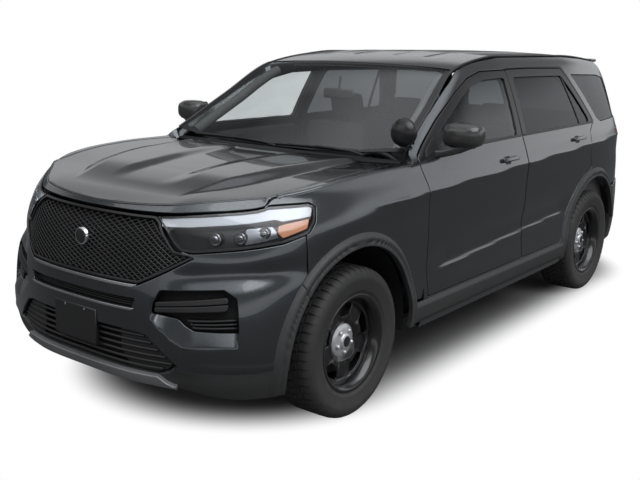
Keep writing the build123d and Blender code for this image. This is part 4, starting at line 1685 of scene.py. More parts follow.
    def _repeats_tree(self) -> bpy.types.NodeTree:
        """Geometry nodes that put a unit on every point.

        Returns:
            The group.
        """
        g = Nodes.group("Repeats", "GeometryNodeTree",
                        {"Geometry": "Geometry", "Unit": "Object", "Finish": "Material"},
                        {"Geometry": "Geometry"})
        given = g.add("NodeGroupInput")
        unit = g.add("GeometryNodeObjectInfo", {"Object": given.outputs["Unit"]})
        turn = g.add("GeometryNodeInputNamedAttribute", data_type="FLOAT_VECTOR")
        g.feed(turn, {"Name": "turn"})
        angle = g.add("FunctionNodeEulerToRotation", {0: turn.outputs["Attribute"]})
        return self._finished(g, given, g.add("GeometryNodeInstanceOnPoints", {
            "Points": given.outputs["Geometry"], "Instance": unit.outputs["Geometry"],
            "Rotation": angle.outputs[0]}))

    def _baked(self, data: bpy.types.Mesh, tree: bpy.types.NodeTree, inputs: dict[str, object], name: str,
               body: str, slot: Slot) -> bpy.types.Object:
        """Plain mesh piece made by geometry nodes from a mesh of points or lines.

        Args:
            data: The points or lines.
            tree: Geometry nodes to run.
            inputs: Value of each named input.
            name: Name of the piece.
            body: CAD body it rides on.
            slot: Finish group in the record.

        Returns:
            The object.
        """
        host = linked(data.name, data)
        mod = host.modifiers.new(tree.name, "NODES")
        mod.node_group = tree
        ids = {s.name: s.identifier for s in tree.interface.items_tree if s.in_out == "INPUT"}
        for key, value in inputs.items():
            mod[ids[key]] = value
        graph = bpy.context.evaluated_depsgraph_get()
        graph.update()
        made = bpy.data.meshes.new_from_object(host.evaluated_get(graph), preserve_all_data_layers=True,
                                               depsgraph=graph)
        made.name = name
        bpy.data.objects.remove(host)
        return self.settle(linked(name, made), body, slot)


SIDES = (("left", 1), ("right", -1))
CORNERS = (("front_left", FRONT_AXLE, 1), ("front_right", FRONT_AXLE, -1), ("rear_left", REAR_AXLE, 1),
           ("rear_right", REAR_AXLE, -1))

# Outlines on the side, (x, z)
FRONT_DOOR = [(972, 1084), (960, 900), (948, 620), (940, 475), (-222, 475), (-226, 1160), (-226, 1240),
              (-262, 1500), (-288, 1652), (60, 1648), (250, 1612), (430, 1541), (700, 1403), (1000, 1232),
              (1000, 1180)]
REAR_DOOR = [(-231, 475), (-849, 475), (-862, 505), (-905, 640), (-985, 748), (-1095, 850), (-1215, 915),
             (-1345, 948), (-1318, 1010), (-1292, 1079), (-1312, 1207), (-1400, 1262), (-1412, 1290),
             (-1330, 1420), (-1200, 1600), (-1150, 1650), (-600, 1658), (-297, 1655), (-271, 1500),
             (-235, 1240), (-235, 1160)]
FRONT_GLASS = [(800, 1268), (700, 1346), (430, 1486), (262, 1560), (60, 1600), (-225, 1606), (-205, 1500),
               (-165, 1264)]
REAR_GLASS = [(-292, 1264), (-330, 1500), (-352, 1606), (-600, 1606), (-1110, 1600), (-1180, 1520),
              (-1270, 1400), (-1340, 1300), (-1335, 1272)]
QUARTER = [(-1300, 1606), (-1860, 1590), (-2035, 1562), (-2105, 1440), (-2135, 1310), (-2120, 1275),
           (-1580, 1262), (-1515, 1290)]
TAIL_LAMP = [(-1880, 1190), (-2290, 1226), (-2290, 1108), (-2060, 1112)]
BLACK_TOP_RING = [(-215, 1244), (-1300, 1254), (-1420, 1254), (-1440, 1280), (-1250, 1560), (-1190, 1664),
                  (-1160, 1668), (-600, 1668), (-296, 1666), (-262, 1660)]
BLACK_TOP = [(1300, 1240), (860, 1246), (0, 1252), (-1300, 1262), (-1640, 1262), (-1560, 1340),
             (-1290, 1640), (-1220, 1800), (1300, 1800)]


def arch(cx: float, radius: float, a0: float, a1: float, count: int = 25) -> list[Point]:
    """Arc round a wheel in the side view.

    Args:
        cx: Place of the axle along the car.
        radius: Radius of the arc.
        a0: First angle in degrees.
        a1: Last angle in degrees.
        count: Points.

    Returns:
        Points of the arc.
    """
    return [(cx + radius * math.cos(math.radians(a)), WHEEL_Z + radius * math.sin(math.radians(a)))
            for a in np.linspace(a0, a1, count)]


def pushed(points: Sequence[Point], by: float) -> list[Point]:
    """Outline moved outwards on all sides.

    Args:
        points: Points of the outline.
        by: Distance.

    Returns:
        The moved outline.
    """
    loop = np.asarray(points, float)
    if area_of(loop) < 0:
        loop = loop[::-1]
    n = len(loop)
    out: list[Point] = []
    for i in range(n):
        a, b, c = loop[i - 1], loop[i], loop[(i + 1) % n]
        d0 = (b - a) / np.linalg.norm(b - a)
        d1 = (c - b) / np.linalg.norm(c - b)
        n0 = np.array([d0[1], -d0[0]])
        n1 = np.array([d1[1], -d1[0]])
        m = n0 + n1
        m /= max(float(m @ m) / 2, 0.5)
        out.append(tuple(b + m * by))
    return out


@dataclass
class Skin:
    """All the surfaces of the bodywork."""

    side: SideSurface = field(default_factory=SideSurface)

    def __post_init__(self) -> None:
        """Derive the front, top and back from the side."""
        self.wrap = WrapSurface(self.side)
        self.plain = PlainSide(self.side.grid)
        hx, *hood_rows = columns(HOOD)
        rx, *roof_rows = columns(ROOF)
        gz, *gate_rows = columns([row[:5] for row in GATE])

        def hood(x: Array, y: Array) -> Array:
            """Height of the hood.

            Args:
                x: Places along the car.
                y: Places across the car.

            Returns:
                Heights.
            """
            mid, half, edge = (pchip(hx, row, x) for row in hood_rows)
            t = np.abs(y)
            inner = mid + (half - mid) * (t / 450.0) ** 2
            s = np.clip((t - 450.0) / 450.0, 0, 1.4)
            return np.where(t < 450.0, inner, half + (edge - half) * s**1.6)


        def roof(x: Array, y: Array) -> Array:
            """Height of the roof and windscreen.

            Args:
                x: Places along the car.
                y: Places across the car.

            Returns:
                Heights.
            """
            half, edge, mid = (pchip(rx, row, x) for row in roof_rows)
            t = np.clip(np.abs(y) / half, 0, 1.15)
            return edge + (mid - edge) * (1 - t**2.4)


        def gate(y: Array, z: Array) -> Array:
            """Place of the liftgate along the car.

            Args:
                y: Places across the car.
                z: Heights.

            Returns:
                Places along the car.
            """
            mid, half, edge, side = (pchip(gz, row, z) for row in gate_rows)
            t = np.abs(y)
            inner = mid + (half - mid) * (t / 500.0) ** 2
            s = np.clip((t - 500.0) / (side - 500.0), 0, 1.25)
            return np.where(t < 500.0, inner, half + (edge - half) * s**1.9)

        front = ((980.0, -930.0), (2430.0, 930.0), 5.0)
        top = ((-2280.0, -900.0), (1180.0, 900.0), 3.0)
        self.hood = Sheet(hood, *front, self.hood_relief)
        self.shoulder = Sheet(hood, *front)
        self.roof = Sheet(roof, *top, self.roof_relief)
        self.screen = Sheet(roof, *top)
        self.gate = Sheet(gate, (-830.0, 700.0), (830.0, 1760.0), 4.0, self.gate_relief, True)

    @staticmethod
    def hood_relief(x: Array, y: Array) -> Array:
        """Raised bands of the hood, its hollow middle and its rounded front.

        Args:
            x: Places along the car.
            y: Places across the car.

        Returns:
            Height of the forms, outward.
        """
        t = np.abs(y)
        inner = np.interp(x, [1198, 1329, 1498, 1770, 1963, 2178], [577, 544, 514, 484, 434, 379])
        outer = np.interp(x, [1200, 1308, 1497, 1656, 1883, 2042, 2184], [650, 660, 672, 641, 584, 509, 400])
        rise = 28.0 * bump((2230.0 - x) / 330.0) * (1.0 - 0.1 * bump((1300.0 - x) / 200.0))
        hollow = np.interp(x, [1100, 1600, 1800, 2000, 2150], [300, 260, 250, 250, 230])
        dip = 14.0 * bump((2140.0 - x) / 260.0) * (1.0 - 0.35 * bump((1400.0 - x) / 250.0))
        front = 7.0 * np.clip((x - front_edge(t) + 34.0) / 34.0, 0, 1.2) ** 2.2
        return rise * bump((outer - t) / (outer - inner)) - dip * bump((hollow - t) / 120.0) - front

    @staticmethod
    def roof_relief(x: Array, y: Array) -> Array:
        """Long ribs pressed into the roof.

        Args:
            x: Places along the car.
            y: Places across the car.

        Returns:
            Height of the forms, outward.
        """
        grid = np.minimum(np.abs(np.abs(y) - 150.0), np.abs(np.abs(y) - 400.0))
        ends = bump((x + 1950.0) / 90.0) * bump((120.0 - x) / 90.0)
        return -6.0 * ends * bump((46.0 - grid) / 16.0)

    @staticmethod
    def gate_relief(y: Array, z: Array) -> Array:
        """Shelf over the plate and shallow plate recess.

        Args:
            y: Places across the car.
            z: Heights.

        Returns:
            Height of the forms, outward.
        """
        recess = bump((330.0 - np.abs(y)) / 40.0) * bump((z - 880.0) / 40.0) * bump((1070.0 - z) / 40.0)
        return -14.0 * recess


def front_edge(t: Array) -> Array:
    """Front edge of the hood in plan, at a distance from the middle.

    Args:
        t: Distance from the middle.

    Returns:
        Places along the car.
    """
    return np.interp(t, [0, 59, 249, 410, 573, 658, 731, 784, 900],
                     [2408, 2404, 2387, 2355, 2269, 2201, 2136, 2086, 1980])


@dataclass
class Part:
    """Group of pieces made in the workshop over the bodywork's surfaces.

    Attributes:
        shop: Where the pieces are made.
        skin: Surfaces of the bodywork.
    """

    shop: Workshop
    skin: Skin

    def pair(self, *pieces: tuple[str, Mesh, Sequence[Finish | bpy.types.Material], Slot, str]) -> None:
        """Pieces for both sides of the body.

        Args:
            pieces: Name, mesh of the left side, finishes, slot and the CAD node replaced, if any.
        """
        for name, sign in SIDES:
            for word, mesh, finishes, slot, node in pieces:
                gone = [node] if node and sign > 0 else []
                self.shop.piece(f"{word}_{name}", mesh.on(sign), finishes, "body", slot, gone)


class BodySides(Part):
    """Pillars, rails, sills, quarters and fenders."""

    def build(self) -> None:
        """Make the pieces."""
        side = self.skin.side
        ring = [(1078, 1196), (1046, 1246), (880, 1352), (700, 1445), (500, 1560), (320, 1652), (160, 1685),
                (0, 1706), (-300, 1729), (-1300, 1727), (-1700, 1712), (-2080, 1684), (-2110, 1600),
                (-2178, 1450), (-2262, 1240), (-2268, 1160), (-2268, 765), (-1895, 765)]
        ring += arch(REAR_AXLE, 486, 128, 0.5, 20)
        ring += [(REAR_AXLE + 488, 300), (985, 300), (985, 900), (1030, 1180)]
        holes = [pushed(FRONT_DOOR, 4.5), pushed(REAR_DOOR, 4.5), QUARTER, TAIL_LAMP[:1] + [(-2262, 1224),
                 (-2262, 1110)] + TAIL_LAMP[3:]]
        mesh = panel(side, ring, holes[:3], thick=58.0, fold=3.0, radius=10.0, hole_radius=16.0,
                     zones=[(BLACK_TOP_RING, 1)])
        wrap = self.skin.wrap
        back = [(976, 1084), (964, 900), (954, 600), (1010, 480)] + arch(FRONT_AXLE, 486, 168, 48, 24)
        fender = [(wrap.u0 + SEAM_X - x, z) for x, z in back]
        fender += [(1259, 800), (1261, 980), (1279, 982), (1328, 1029), (1356, 1091), (1327, 1112),
                   (1074, 1107), (1012, 1098), (1174, 1134), (1233, 1140), (1343, 1157), (1511, 1177),
                   (1721, 1190), (1909, 1196), (2115, 1197), (2220, 1222), (2220, 1180)]
        rolled = [(2012, 790), (1950, 802), (1822, 828), (1654, 851), (1432, 855), (1250, 846), (1118, 834),
                  (1060, 850), (1060, 914), (1316, 914), (1504, 912), (1600, 909), (1714, 902), (1800, 889),
                  (1882, 871), (1950, 840), (1996, 808)]
        wing = joined([panel(wrap, fender, thick=16.0, fold=3.0, radius=8.0),
                       panel(self.skin.shoulder, rolled, thick=22.0, fold=11.0, radius=6.0)])
        self.pair(("side_ring", mesh, [PAINT, GLOSS_BLACK], Slot.PAINT, "body_sides"),
                  ("fender", wing, [PAINT], Slot.PAINT, "front_fenders"))
        self.cladding()
        self.quarter_glass()

    def cladding(self) -> None:
        """Arch rings and sill strips."""
        side = self.skin.side

        def flare(x: Array, z: Array) -> Array:
            """How far the cladding stands out.

            Args:
                x: Places along the car.
                z: Heights.

            Returns:
                Distances in millimetres.
            """
            out = np.zeros(np.shape(x))
            for cx in (FRONT_AXLE, REAR_AXLE):
                r = np.hypot(x - cx, z - WHEEL_Z)
                t = np.clip((r - 484.0) / 72.0, 0, 1)
                ring = 17.0 * (1 - bump((t - 0.62) / 0.38)) * bump(t / 0.1 + 0.6) - 5.0 * np.exp(
                    -(((t - 0.36) / 0.07) ** 2))
                out = np.maximum(out, np.where(r < 562.0, ring, 0.0))
            sill = 13.0 * bump((466.0 - z) / 26.0) * bump((z - 332.0) / 40.0)
            mid = (np.abs(x - (FRONT_AXLE + REAR_AXLE) / 2) < 1060.0)
            return np.maximum(out, np.where(mid, sill, 0.0)) + 1.5

        raised = Raised(side, flare)
        low = math.degrees(math.asin((334 - WHEEL_Z) / 556))
        front = arch(FRONT_AXLE, 556, 44, 180 - 8.8, 30)
        front += [(1016, 464)]
        back = [(REAR_AXLE + 556, 464)] + arch(REAR_AXLE, 556, 8.8, 170, 34)
        inner_back = arch(REAR_AXLE, 487, 166, low, 34)
        inner_front = arch(FRONT_AXLE, 487, 180 - low, 40, 30)
        outline = front + back + inner_back + inner_front
        mesh = panel(raised, outline, thick=26.0, step=12.0, fold=4.0, radius=8.0)
        self.pair(("cladding", mesh, [CLADDING], Slot.PLASTIC, "side_cladding"),
                  ("cladding_nose", self.nose_ring(), [CLADDING], Slot.PLASTIC, ""))

    def nose_ring(self) -> Mesh:
        """Front part of the front arch ring, on the bumper's corner.

        Returns:
            Its mesh.
        """
        wrap = self.skin.wrap

        def flare(u: Array, z: Array) -> Array:
            """How far the cladding stands out.

            Args:
                u: Lengths along the wrap.
                z: Heights.

            Returns:
                Distances in millimetres.
            """
            p = wrap.point(u, z)
            r = np.hypot(p[..., 0] - FRONT_AXLE, z - WHEEL_Z)
            t = np.clip((r - 484.0) / 72.0, 0, 1)
            return 17.0 * (1 - bump((t - 0.62) / 0.38)) - 5.0 * np.exp(-(((t - 0.36) / 0.07) ** 2)) + 1.5

        def place(radius: float, a: float) -> Point:
            """Point of the ring on the wrap.

            Args:
                radius: Distance from the axle.
                a: Angle in degrees.

            Returns:
                Length and height on the wrap.
            """
            x = FRONT_AXLE + radius * math.cos(math.radians(a))
            z = WHEEL_Z + radius * math.sin(math.radians(a))
            return wrap.ux(x, z)

        outer = [place(556, a) for a in np.linspace(44, -12, 14)]
        inner = [place(487, a) for a in np.linspace(-14, 40, 14)]
        return panel(Raised(wrap, flare), outer + inner, thick=24.0, step=12.0, fold=4.0, radius=6.0)

    def quarter_glass(self) -> None:
        """Fixed rear side windows."""
        glass = self.shop.glass("glass_dark", (0.34, 0.35, 0.36), 0.10, 1.3)
        mesh = panel(Raised(self.skin.side, -5.0), pushed(QUARTER, -3.0), thick=4.0, fold=1.0, radius=16.0)
        self.pair(("quarter_glass", mesh, [glass], Slot.GLASS, "quarter_windows"))


class Door:
    """One side door with its glass, trim, handle and frame."""

    def __init__(self, shop: Workshop, skin: Skin, front: bool) -> None:
        """Set up one door.

        Args:
            shop: Where its pieces are made.
            skin: Surfaces of the bodywork.
            front: Whether it is the front door.
        """
        self.shop = shop
        self.skin = skin
        self.front = front
        self.line = FRONT_DOOR if front else REAR_DOOR
        self.window = FRONT_GLASS if front else REAR_GLASS
        self.word = "front" if front else "rear"

    def build(self) -> None:
        """Make the door for both sides of the car."""
        side = self.skin.side
        skin_mesh = panel(side, self.line, [self.window], thick=26.0, fold=3.0, radius=14.0,
                          hole_radius=26.0, zones=[(BLACK_TOP, 1)])
        plain = self.skin.plain
        core = panel(Raised(plain, -40.0), self.core_line(), thick=49.0, step=30.0, fold=8.0, radius=30.0)
        frame = panel(Raised(plain, -34.0), pushed(self.line, -16.0), [pushed(self.window, 6.0)], thick=12.0,
                      step=26.0, fold=3.0, radius=24.0, hole_radius=26.0)
        tint = (0.86, 0.88, 0.885) if self.front else (0.34, 0.35, 0.36)
        glass = self.shop.glass("glass_" + self.word, tint, 0.03 if self.front else 0.10,
                                1.5 if self.front else 1.3)
        pane = panel(Raised(side, -9.0), pushed(self.window, 5.0), thick=4.0, fold=1.0, radius=26.0)
        seal = self.molding()
        handle = self.handle()
        trim = self.inner_trim()
        for name, sign in SIDES:
            body = f"door_{self.word}_{name}"

            def put(piece: str, mesh: Mesh, finishes: Sequence[Finish | bpy.types.Material], slot: Slot,
                    gone: Sequence[str] = ()) -> None:
                """Make one piece of the door.

                Args:
                    piece: First part of its name.
                    mesh: Mesh of the left door.
                    finishes: Its finishes.
                    slot: Its slot.
                    gone: CAD nodes that it replaces.
                """
                self.shop.piece(f"{piece}_{self.word}_{name}", mesh.on(sign), finishes, body, slot, gone)

            put("door_skin", skin_mesh, [PAINT, GLOSS_BLACK], Slot.PAINT, [body])
            put("door_frame", frame, [SEAL], Slot.PLASTIC)
            put("door_core", core, [TRIM], Slot.PLASTIC)
            put("door_pane", pane, [glass], Slot.GLASS, [f"glass_{self.word}_{name}"])
            put("door_seal", seal, [SATIN_BLACK], Slot.PLASTIC)
            put("door_handle", handle, [PAINT, SEAL], Slot.PAINT)
            put("door_trim", trim, [DASH, SATIN_BLACK], Slot.PLASTIC)

    def core_line(self) -> list[Point]:
        """Outline of the thick lower part of the door.

        Returns:
            The outline.
        """
        if self.front:
            return [(800, 1200), (846, 1100), (850, 560), (-160, 560), (-170, 1225), (600, 1225)]
        return [(-345, 1225), (-345, 560), (-790, 560), (-870, 760), (-1010, 880), (-1200, 980),
                (-1235, 1080), (-1240, 1225)]

    def molding(self) -> Mesh:
        """Strip along the foot of the window.

        Returns:
            Its mesh.
        """
        side = Raised(self.skin.side, 3.0)
        if self.front:
            line = [(905, 1247), (-212, 1264), (-214, 1250), (905, 1233)]
        else:
            line = [(-248, 1264), (-1395, 1274), (-1395, 1260), (-248, 1250)]
        parts = [panel(side, line, thick=9.0, step=20.0, fold=2.5, radius=4.0)]
        if not self.front:
            bar = [(-1108, 1602), (-1128, 1602), (-1196, 1266), (-1172, 1266)]
            parts.append(panel(Raised(self.skin.side, -4.0), bar, thick=12.0, step=20.0, fold=2.0,
                               radius=3.0))
        return joined(parts)

    def handle(self) -> Mesh:
        """Pull handle on two feet over its pocket plate.

        Returns:
            Its mesh.
        """
        x, z = (18.0, 1130.0) if self.front else (-1071.0, 1172.0)
        side = self.skin.side
        cup = panel(Raised(side, 1.2), [(x + 70, z + 22), (x - 10, z + 24), (x - 12, z - 26),
                                        (x + 66, z - 24)],
                    thick=3.0, step=12.0, fold=1.0, radius=20.0, base=1)

        def lift(u: Array, v: Array) -> Array:
            """How far the grip stands out.

            Args:
                u: Places along the car.
                v: Heights.

            Returns:
                Distances in millimetres.
            """
            return 12.0 + 16.0 * (1 - ((u - x) / 112.0) ** 4)

        grip = panel(Raised(side, lift), [(x + 104, z + 13), (x - 104, z + 17), (x - 104, z - 12),
                                          (x + 104, z - 12)],
                     thick=18.0, step=12.0, fold=6.0, radius=12.0)
        feet = [panel(Raised(side, 14.0), [(x + a + 14, z + 9), (x + a - 14, z + 9), (x + a - 14, z - 8),
                                           (x + a + 14, z - 8)], thick=20.0, step=12.0, fold=3.0, radius=6.0)
                for a in (-82, 86)]
        return joined([cup, grip, *feet])

    def inner_trim(self) -> Mesh:
        """Arm rest, pull and speaker on the inside.

        Returns:
            Its mesh.
        """
        side = self.skin.side
        x0, x1 = (640.0, -40.0) if self.front else (-420.0, -1080.0)
        rest = panel(Raised(side, -84.0), [(x0, 860), (x1, 880), (x1, 800), (x0, 790)], thick=70.0,
                     step=24.0, fold=14.0, radius=26.0)
        cx = 700.0 if self.front else -520.0
        ring = panel(Raised(side, -86.0), [(cx + 75 * math.cos(a), 660 + 75 * math.sin(a))
                                           for a in np.linspace(0, 2 * math.pi, 25)[:-1]],
                     thick=8.0, step=14.0, fold=3.0, radius=2.0, base=1)
        return joined([rest, ring])


class Hood(Part):
    """Hood lid."""

    def build(self) -> None:
        """Make the lid with its dark underside, and its front lip."""
        reach = (0.0, 120.0, 278.0, 420.0, 579.0, 711.0, 819.0, 940.0, 1060.0)
        crest = [self.crest(u) for u in reach]
        half = [(p[0] - 4.0, max(p[1] - 2.0, 0.0)) for p in crest]
        half += [(2018, 785), (1950, 797), (1822, 823), (1654, 846), (1432, 850), (1250, 841), (1116, 828)]
        rear = [(1148, 700), (1184, 400), (1195, 0)]
        line = half + rear
        line += [(x, -y) for x, y in reversed(half + rear[:-1]) if y > 0]
        mesh = panel(self.skin.hood, line, thick=30.0, step=15.0, fold=7.0, radius=12.0, edge=1)
        self.shop.piece("hood_lid", mesh, [PAINT, UNDER], "hood", Slot.PAINT, ["hood"])
        low = [(1150, 1140), (1001, 1103), (863, 1089), (748, 1080), (614, 1074), (353, 1064), (203, 1060),
               (0, 1060)]
        face = [(u, float(p[2]) - 1.0) for u, p in zip(reach, crest)] + low
        face += [(-u, z) for u, z in reversed(face) if u > 0]
        lip = panel(Raised(self.skin.wrap, -1.0), face, thick=22.0, step=12.0, fold=5.0, radius=7.0)
        self.shop.piece("hood_lip", lip, [PAINT], "hood", Slot.PAINT)

    def crest(self, u: float) -> Array:
        """Point where the lid meets the front of the car, at a length along the front.

        Args:
            u: First number of each place.

        Returns:
            The point.
        """
        z = np.linspace(1040.0, 1200.0, 321)
        p = self.skin.wrap.point(np.full(len(z), u), z)
        top = self.skin.hood.point(np.minimum(p[:, 0], 2425.0), p[:, 1])[:, 2]
        return p[int(np.argmax(z > top))]


class RoofTop(Part):
    """Roof panel, windscreen, roof strips and pillar trims."""

    @staticmethod
    def half_at(x: float) -> float:
        """Half width of the roof at a place along the car.

        Args:
            x: Places along the car.

        Returns:
            The half width.
        """
        return float(np.interp(x, [r[0] for r in ROOF][::-1], [r[1] for r in ROOF][::-1]))

    def build(self) -> None:
        """Make the pieces."""
        xs = [300, 0, -300, -900, -1300, -1700, -2060]
        left = [(x, self.half_at(x) - 9) for x in xs]
        right = [(x, -y) for x, y in reversed(left)]
        line = [*left, (-2068, 0), *right, (322, -400), (328, 0), (322, 400)]
        roof = panel(self.skin.roof, line, thick=24.0, step=16.0, fold=3.0, radius=8.0, edge=1)
        self.shop.piece("roof_panel", roof, [PAINT, LINER], "body", Slot.PAINT, ["roof"])
        down = [1044, 900, 700, 500, 340]
        edge = [(x, self.half_at(x) - 8) for x in down]
        foot = [(1110, -600), (1148, -300), (1158, 0), (1110 + 38, 300), (1110, 600)]
        top = [(334, 400), (340, 0), (334, -400)]
        glass_line = [*foot, *edge, *top, *[(x, -y) for x, y in reversed(edge)]]
        glass = self.shop.glass("glass_screen", (0.95, 0.965, 0.965), 0.02, 1.8)
        black = [(x, y * 0.955) for x, y in edge]
        clear = [(1090, -600), (1125, -300), (1132, 0), (1125, 300), (1090, 600),
                 *[(min(x, 1020), y) for x, y in black], (362, 380), (366, 0), (362, -380),
                 *[(min(x, 1020), -y) for x, y in reversed(black)]]
        screen = panel(self.skin.screen, glass_line, thick=5.0, step=20.0, fold=1.2, radius=14.0,
                       zones=[(clear, 1)])
        self.shop.piece("windscreen_pane", screen, [GLOSS_BLACK, glass], "body", Slot.GLASS, ["windscreen"])
        rails = []
        for sign in (1, -1):
            for x0, x1, count, inset, lift in ((1040, 330, 30, 3, 2), (326, -2060, 60, 4, 0)):
                x = np.linspace(x0, x1, count)
                y = sign * (np.array([self.half_at(float(v)) for v in x]) - inset)
                rails.append(self.skin.screen.point(x, y) + [0, 0, lift])
        self.shop.bars("roof_strips", rails, 7.0, SATIN_BLACK, "body", Slot.PLASTIC, 8)
        trims = []
        for sign in (1, -1):
            x = np.linspace(1000.0, 350.0, 24)
            y = sign * (np.array([self.half_at(float(v)) for v in x]) - 84.0)
            trims.append(self.skin.screen.point(x, y) - [20.0, 0.0, 50.0])
        self.shop.bars("pillar_trims", trims, 31.0, PILLAR_TRIM, "body", Slot.PLASTIC, 14)


class Gate(Part):
    """Liftgate with its lamp bars, inner trim, spoiler lip and glass."""

    def build(self) -> None:
        """Make the pieces."""
        surf = self.skin.gate
        right = [(784, 775), (782, 1000), (770, 1150), (748, 1240), (672, 1450), (600, 1640), (585, 1690)]
        line = right + [(-y, z) for y, z in reversed(right)]
        window = [(600, 1262), (520, 1560), (470, 1600), (-470, 1600), (-520, 1560), (-600, 1262)]
        dark = [(700, 1250), (600, 1500), (545, 1640), (-545, 1640), (-600, 1500), (-700, 1250)]
        red = [(760, 1216), (560, 1206), (560, 1128), (768, 1112)]
        zones = [(dark, 1), (red, 2), ([(-y, z) for y, z in red], 2)]
        mesh = panel(surf, line, [window], thick=44.0, step=18.0, fold=5.0, radius=20.0, hole_radius=30.0,
                     zones=zones)
        self.shop.piece("gate_panel", mesh, [PAINT, GLOSS_BLACK, RED], "liftgate", Slot.PAINT, ["liftgate"])
        inner = panel(Raised(surf, -44.5), pushed(line, -16.0), [pushed(window, 6.0)], thick=5.0, step=24.0,
                      fold=2.0, radius=20.0, hole_radius=30.0)
        self.shop.piece("gate_trim", inner, [TRIM], "liftgate", Slot.PLASTIC)
        lip = block(-2294, -2086, -580, 580, 1678, 1703, 8.0)
        self.shop.piece("gate_spoiler", lip, [PAINT], "liftgate", Slot.PAINT)
        glass = self.shop.glass("glass_back", (0.34, 0.35, 0.36), 0.12, 1.4)
        pane = panel(Raised(surf, -6.0), pushed(window, 6.0), thick=4.0, step=24.0, fold=1.0, radius=30.0)
        self.shop.piece("gate_pane", pane, [glass], "liftgate", Slot.GLASS, ["liftgate_glass"])


class Lamps(Part):
    """Head lamps and tail lamps."""

    def uv(self, s: float, z: float) -> Point:
        """Place on the wrap of a point given across the lamp's own face.

        Args:
            s: Place across the lamp.
            z: Heights.

        Returns:
            Length and height on the wrap.
        """
        return (self.skin.wrap.length_at(z, s, lambda p: (-p[..., 0] + p[..., 1]) / math.sqrt(2)), z)

    def build(self) -> None:
        """Make the pieces."""
        wrap = self.skin.wrap
        line = [(351, 1049), (649, 1066), (860, 1081), (1074, 1102), (1324, 1106), (1350, 1091),
                (1322, 1032), (1272, 984), (1131, 955), (878, 928), (662, 909), (593, 914), (563, 929),
                (474, 991)]
        clear = self.shop.glass("lens", (0.93, 0.94, 0.95), 0.0)
        lens = panel(Raised(wrap, 1.0), line, thick=3.0, step=12.0, fold=1.5, radius=8.0)
        rim_line = pushed(line, 1.0)
        rim = panel(Raised(wrap, 0.0), rim_line, [pushed(line, -9.0)], thick=14.0, step=14.0, fold=1.5,
                    radius=8.0, hole_radius=6.0)
        bucket = panel(Raised(wrap, -46.0), line, thick=20.0, step=16.0, fold=2.0, radius=8.0)
        strip = [(376, 1045), (412, 1012), (600, 1014), (826, 1028), (1000, 1044), (1116, 1052),
                 (1164, 1043), (1314, 1054), (1338, 1089), (1318, 1101), (1074, 1097), (860, 1077),
                 (649, 1062)]
        drl = panel(Raised(wrap, -6.0), strip, thick=38.0, step=12.0, fold=3.0, radius=6.0)
        amber_line = [(1126, 1029), (1180, 1037), (1304, 1048), (1277, 1006), (1135, 975), (1109, 1002)]
        amber = panel(Raised(wrap, -9.0), amber_line, thick=30.0, step=12.0, fold=3.0, radius=8.0)
        chrome = [self.uv(s, z) for s, z in [(-1010, 948), (-850, 978), (-862, 1012), (-880, 1034),
                                             (-1000, 1024)]]
        mirror = panel(Raised(wrap, -26.0), chrome, thick=14.0, step=12.0, fold=4.0, radius=16.0)
        self.pair(("lens", lens, [clear], Slot.LAMP, "headlamps"),
                  ("lamp_rim", rim, [GLOSS_BLACK], Slot.PLASTIC, ""),
                  ("lamp_bucket", bucket, [GLOSS_BLACK], Slot.PLASTIC, ""),
                  ("lamp_strip", drl, [DRL], Slot.LAMP, ""), ("lamp_amber", amber, [AMBER], Slot.LAMP, ""),
                  ("lamp_mirror", mirror, [REFLECTOR], Slot.LAMP, ""))
        self.projectors()
        tail = panel(Raised(self.skin.side, 1.5), pushed(TAIL_LAMP[:1] + [(-2264, 1224), (-2264, 1110)]
                     + TAIL_LAMP[3:], -1.0), thick=16.0, step=12.0, fold=3.0, radius=14.0)
        self.pair(("tail_lens", tail, [RED], Slot.RED, "tail_lamps"))

    def projectors(self) -> None:
        """Round beam units behind the clear lens."""
        wrap = self.skin.wrap
        parts = []
        for s, z, r in ((-1150, 962, 27.0), (-1040, 968, 25.0), (-935, 990, 21.0)):
            u, v = self.uv(s, z)
            p, n = wrap.spot(u, v)
            n = np.array([n[0] + 0.6, n[1] * 0.6, 0.0])
            n /= np.linalg.norm(n)
            turn = Vector((0, -1, 0)).rotation_difference(Vector(n)).to_matrix().to_4x4()
            prof = [(0, -12), (r * 0.6, -9), (r * 0.82, -2), (r * 0.86, 2), (r, 2), (r + 3, -3), (r + 5, 2),
                    (r + 5, 34), (0, 34)]
            unit = lathe(prof, (0, 0, 0), "y", 28, [2, 2, 1, 0, 0, 0, 1, 1, 1])
            parts.append(unit.moved(Matrix.Translation(Vector(p - n * 26)) @ turn))
        self.pair(("projectors", joined(parts), [CHROME, SATIN_BLACK, REFLECTOR], Slot.LAMP, ""))


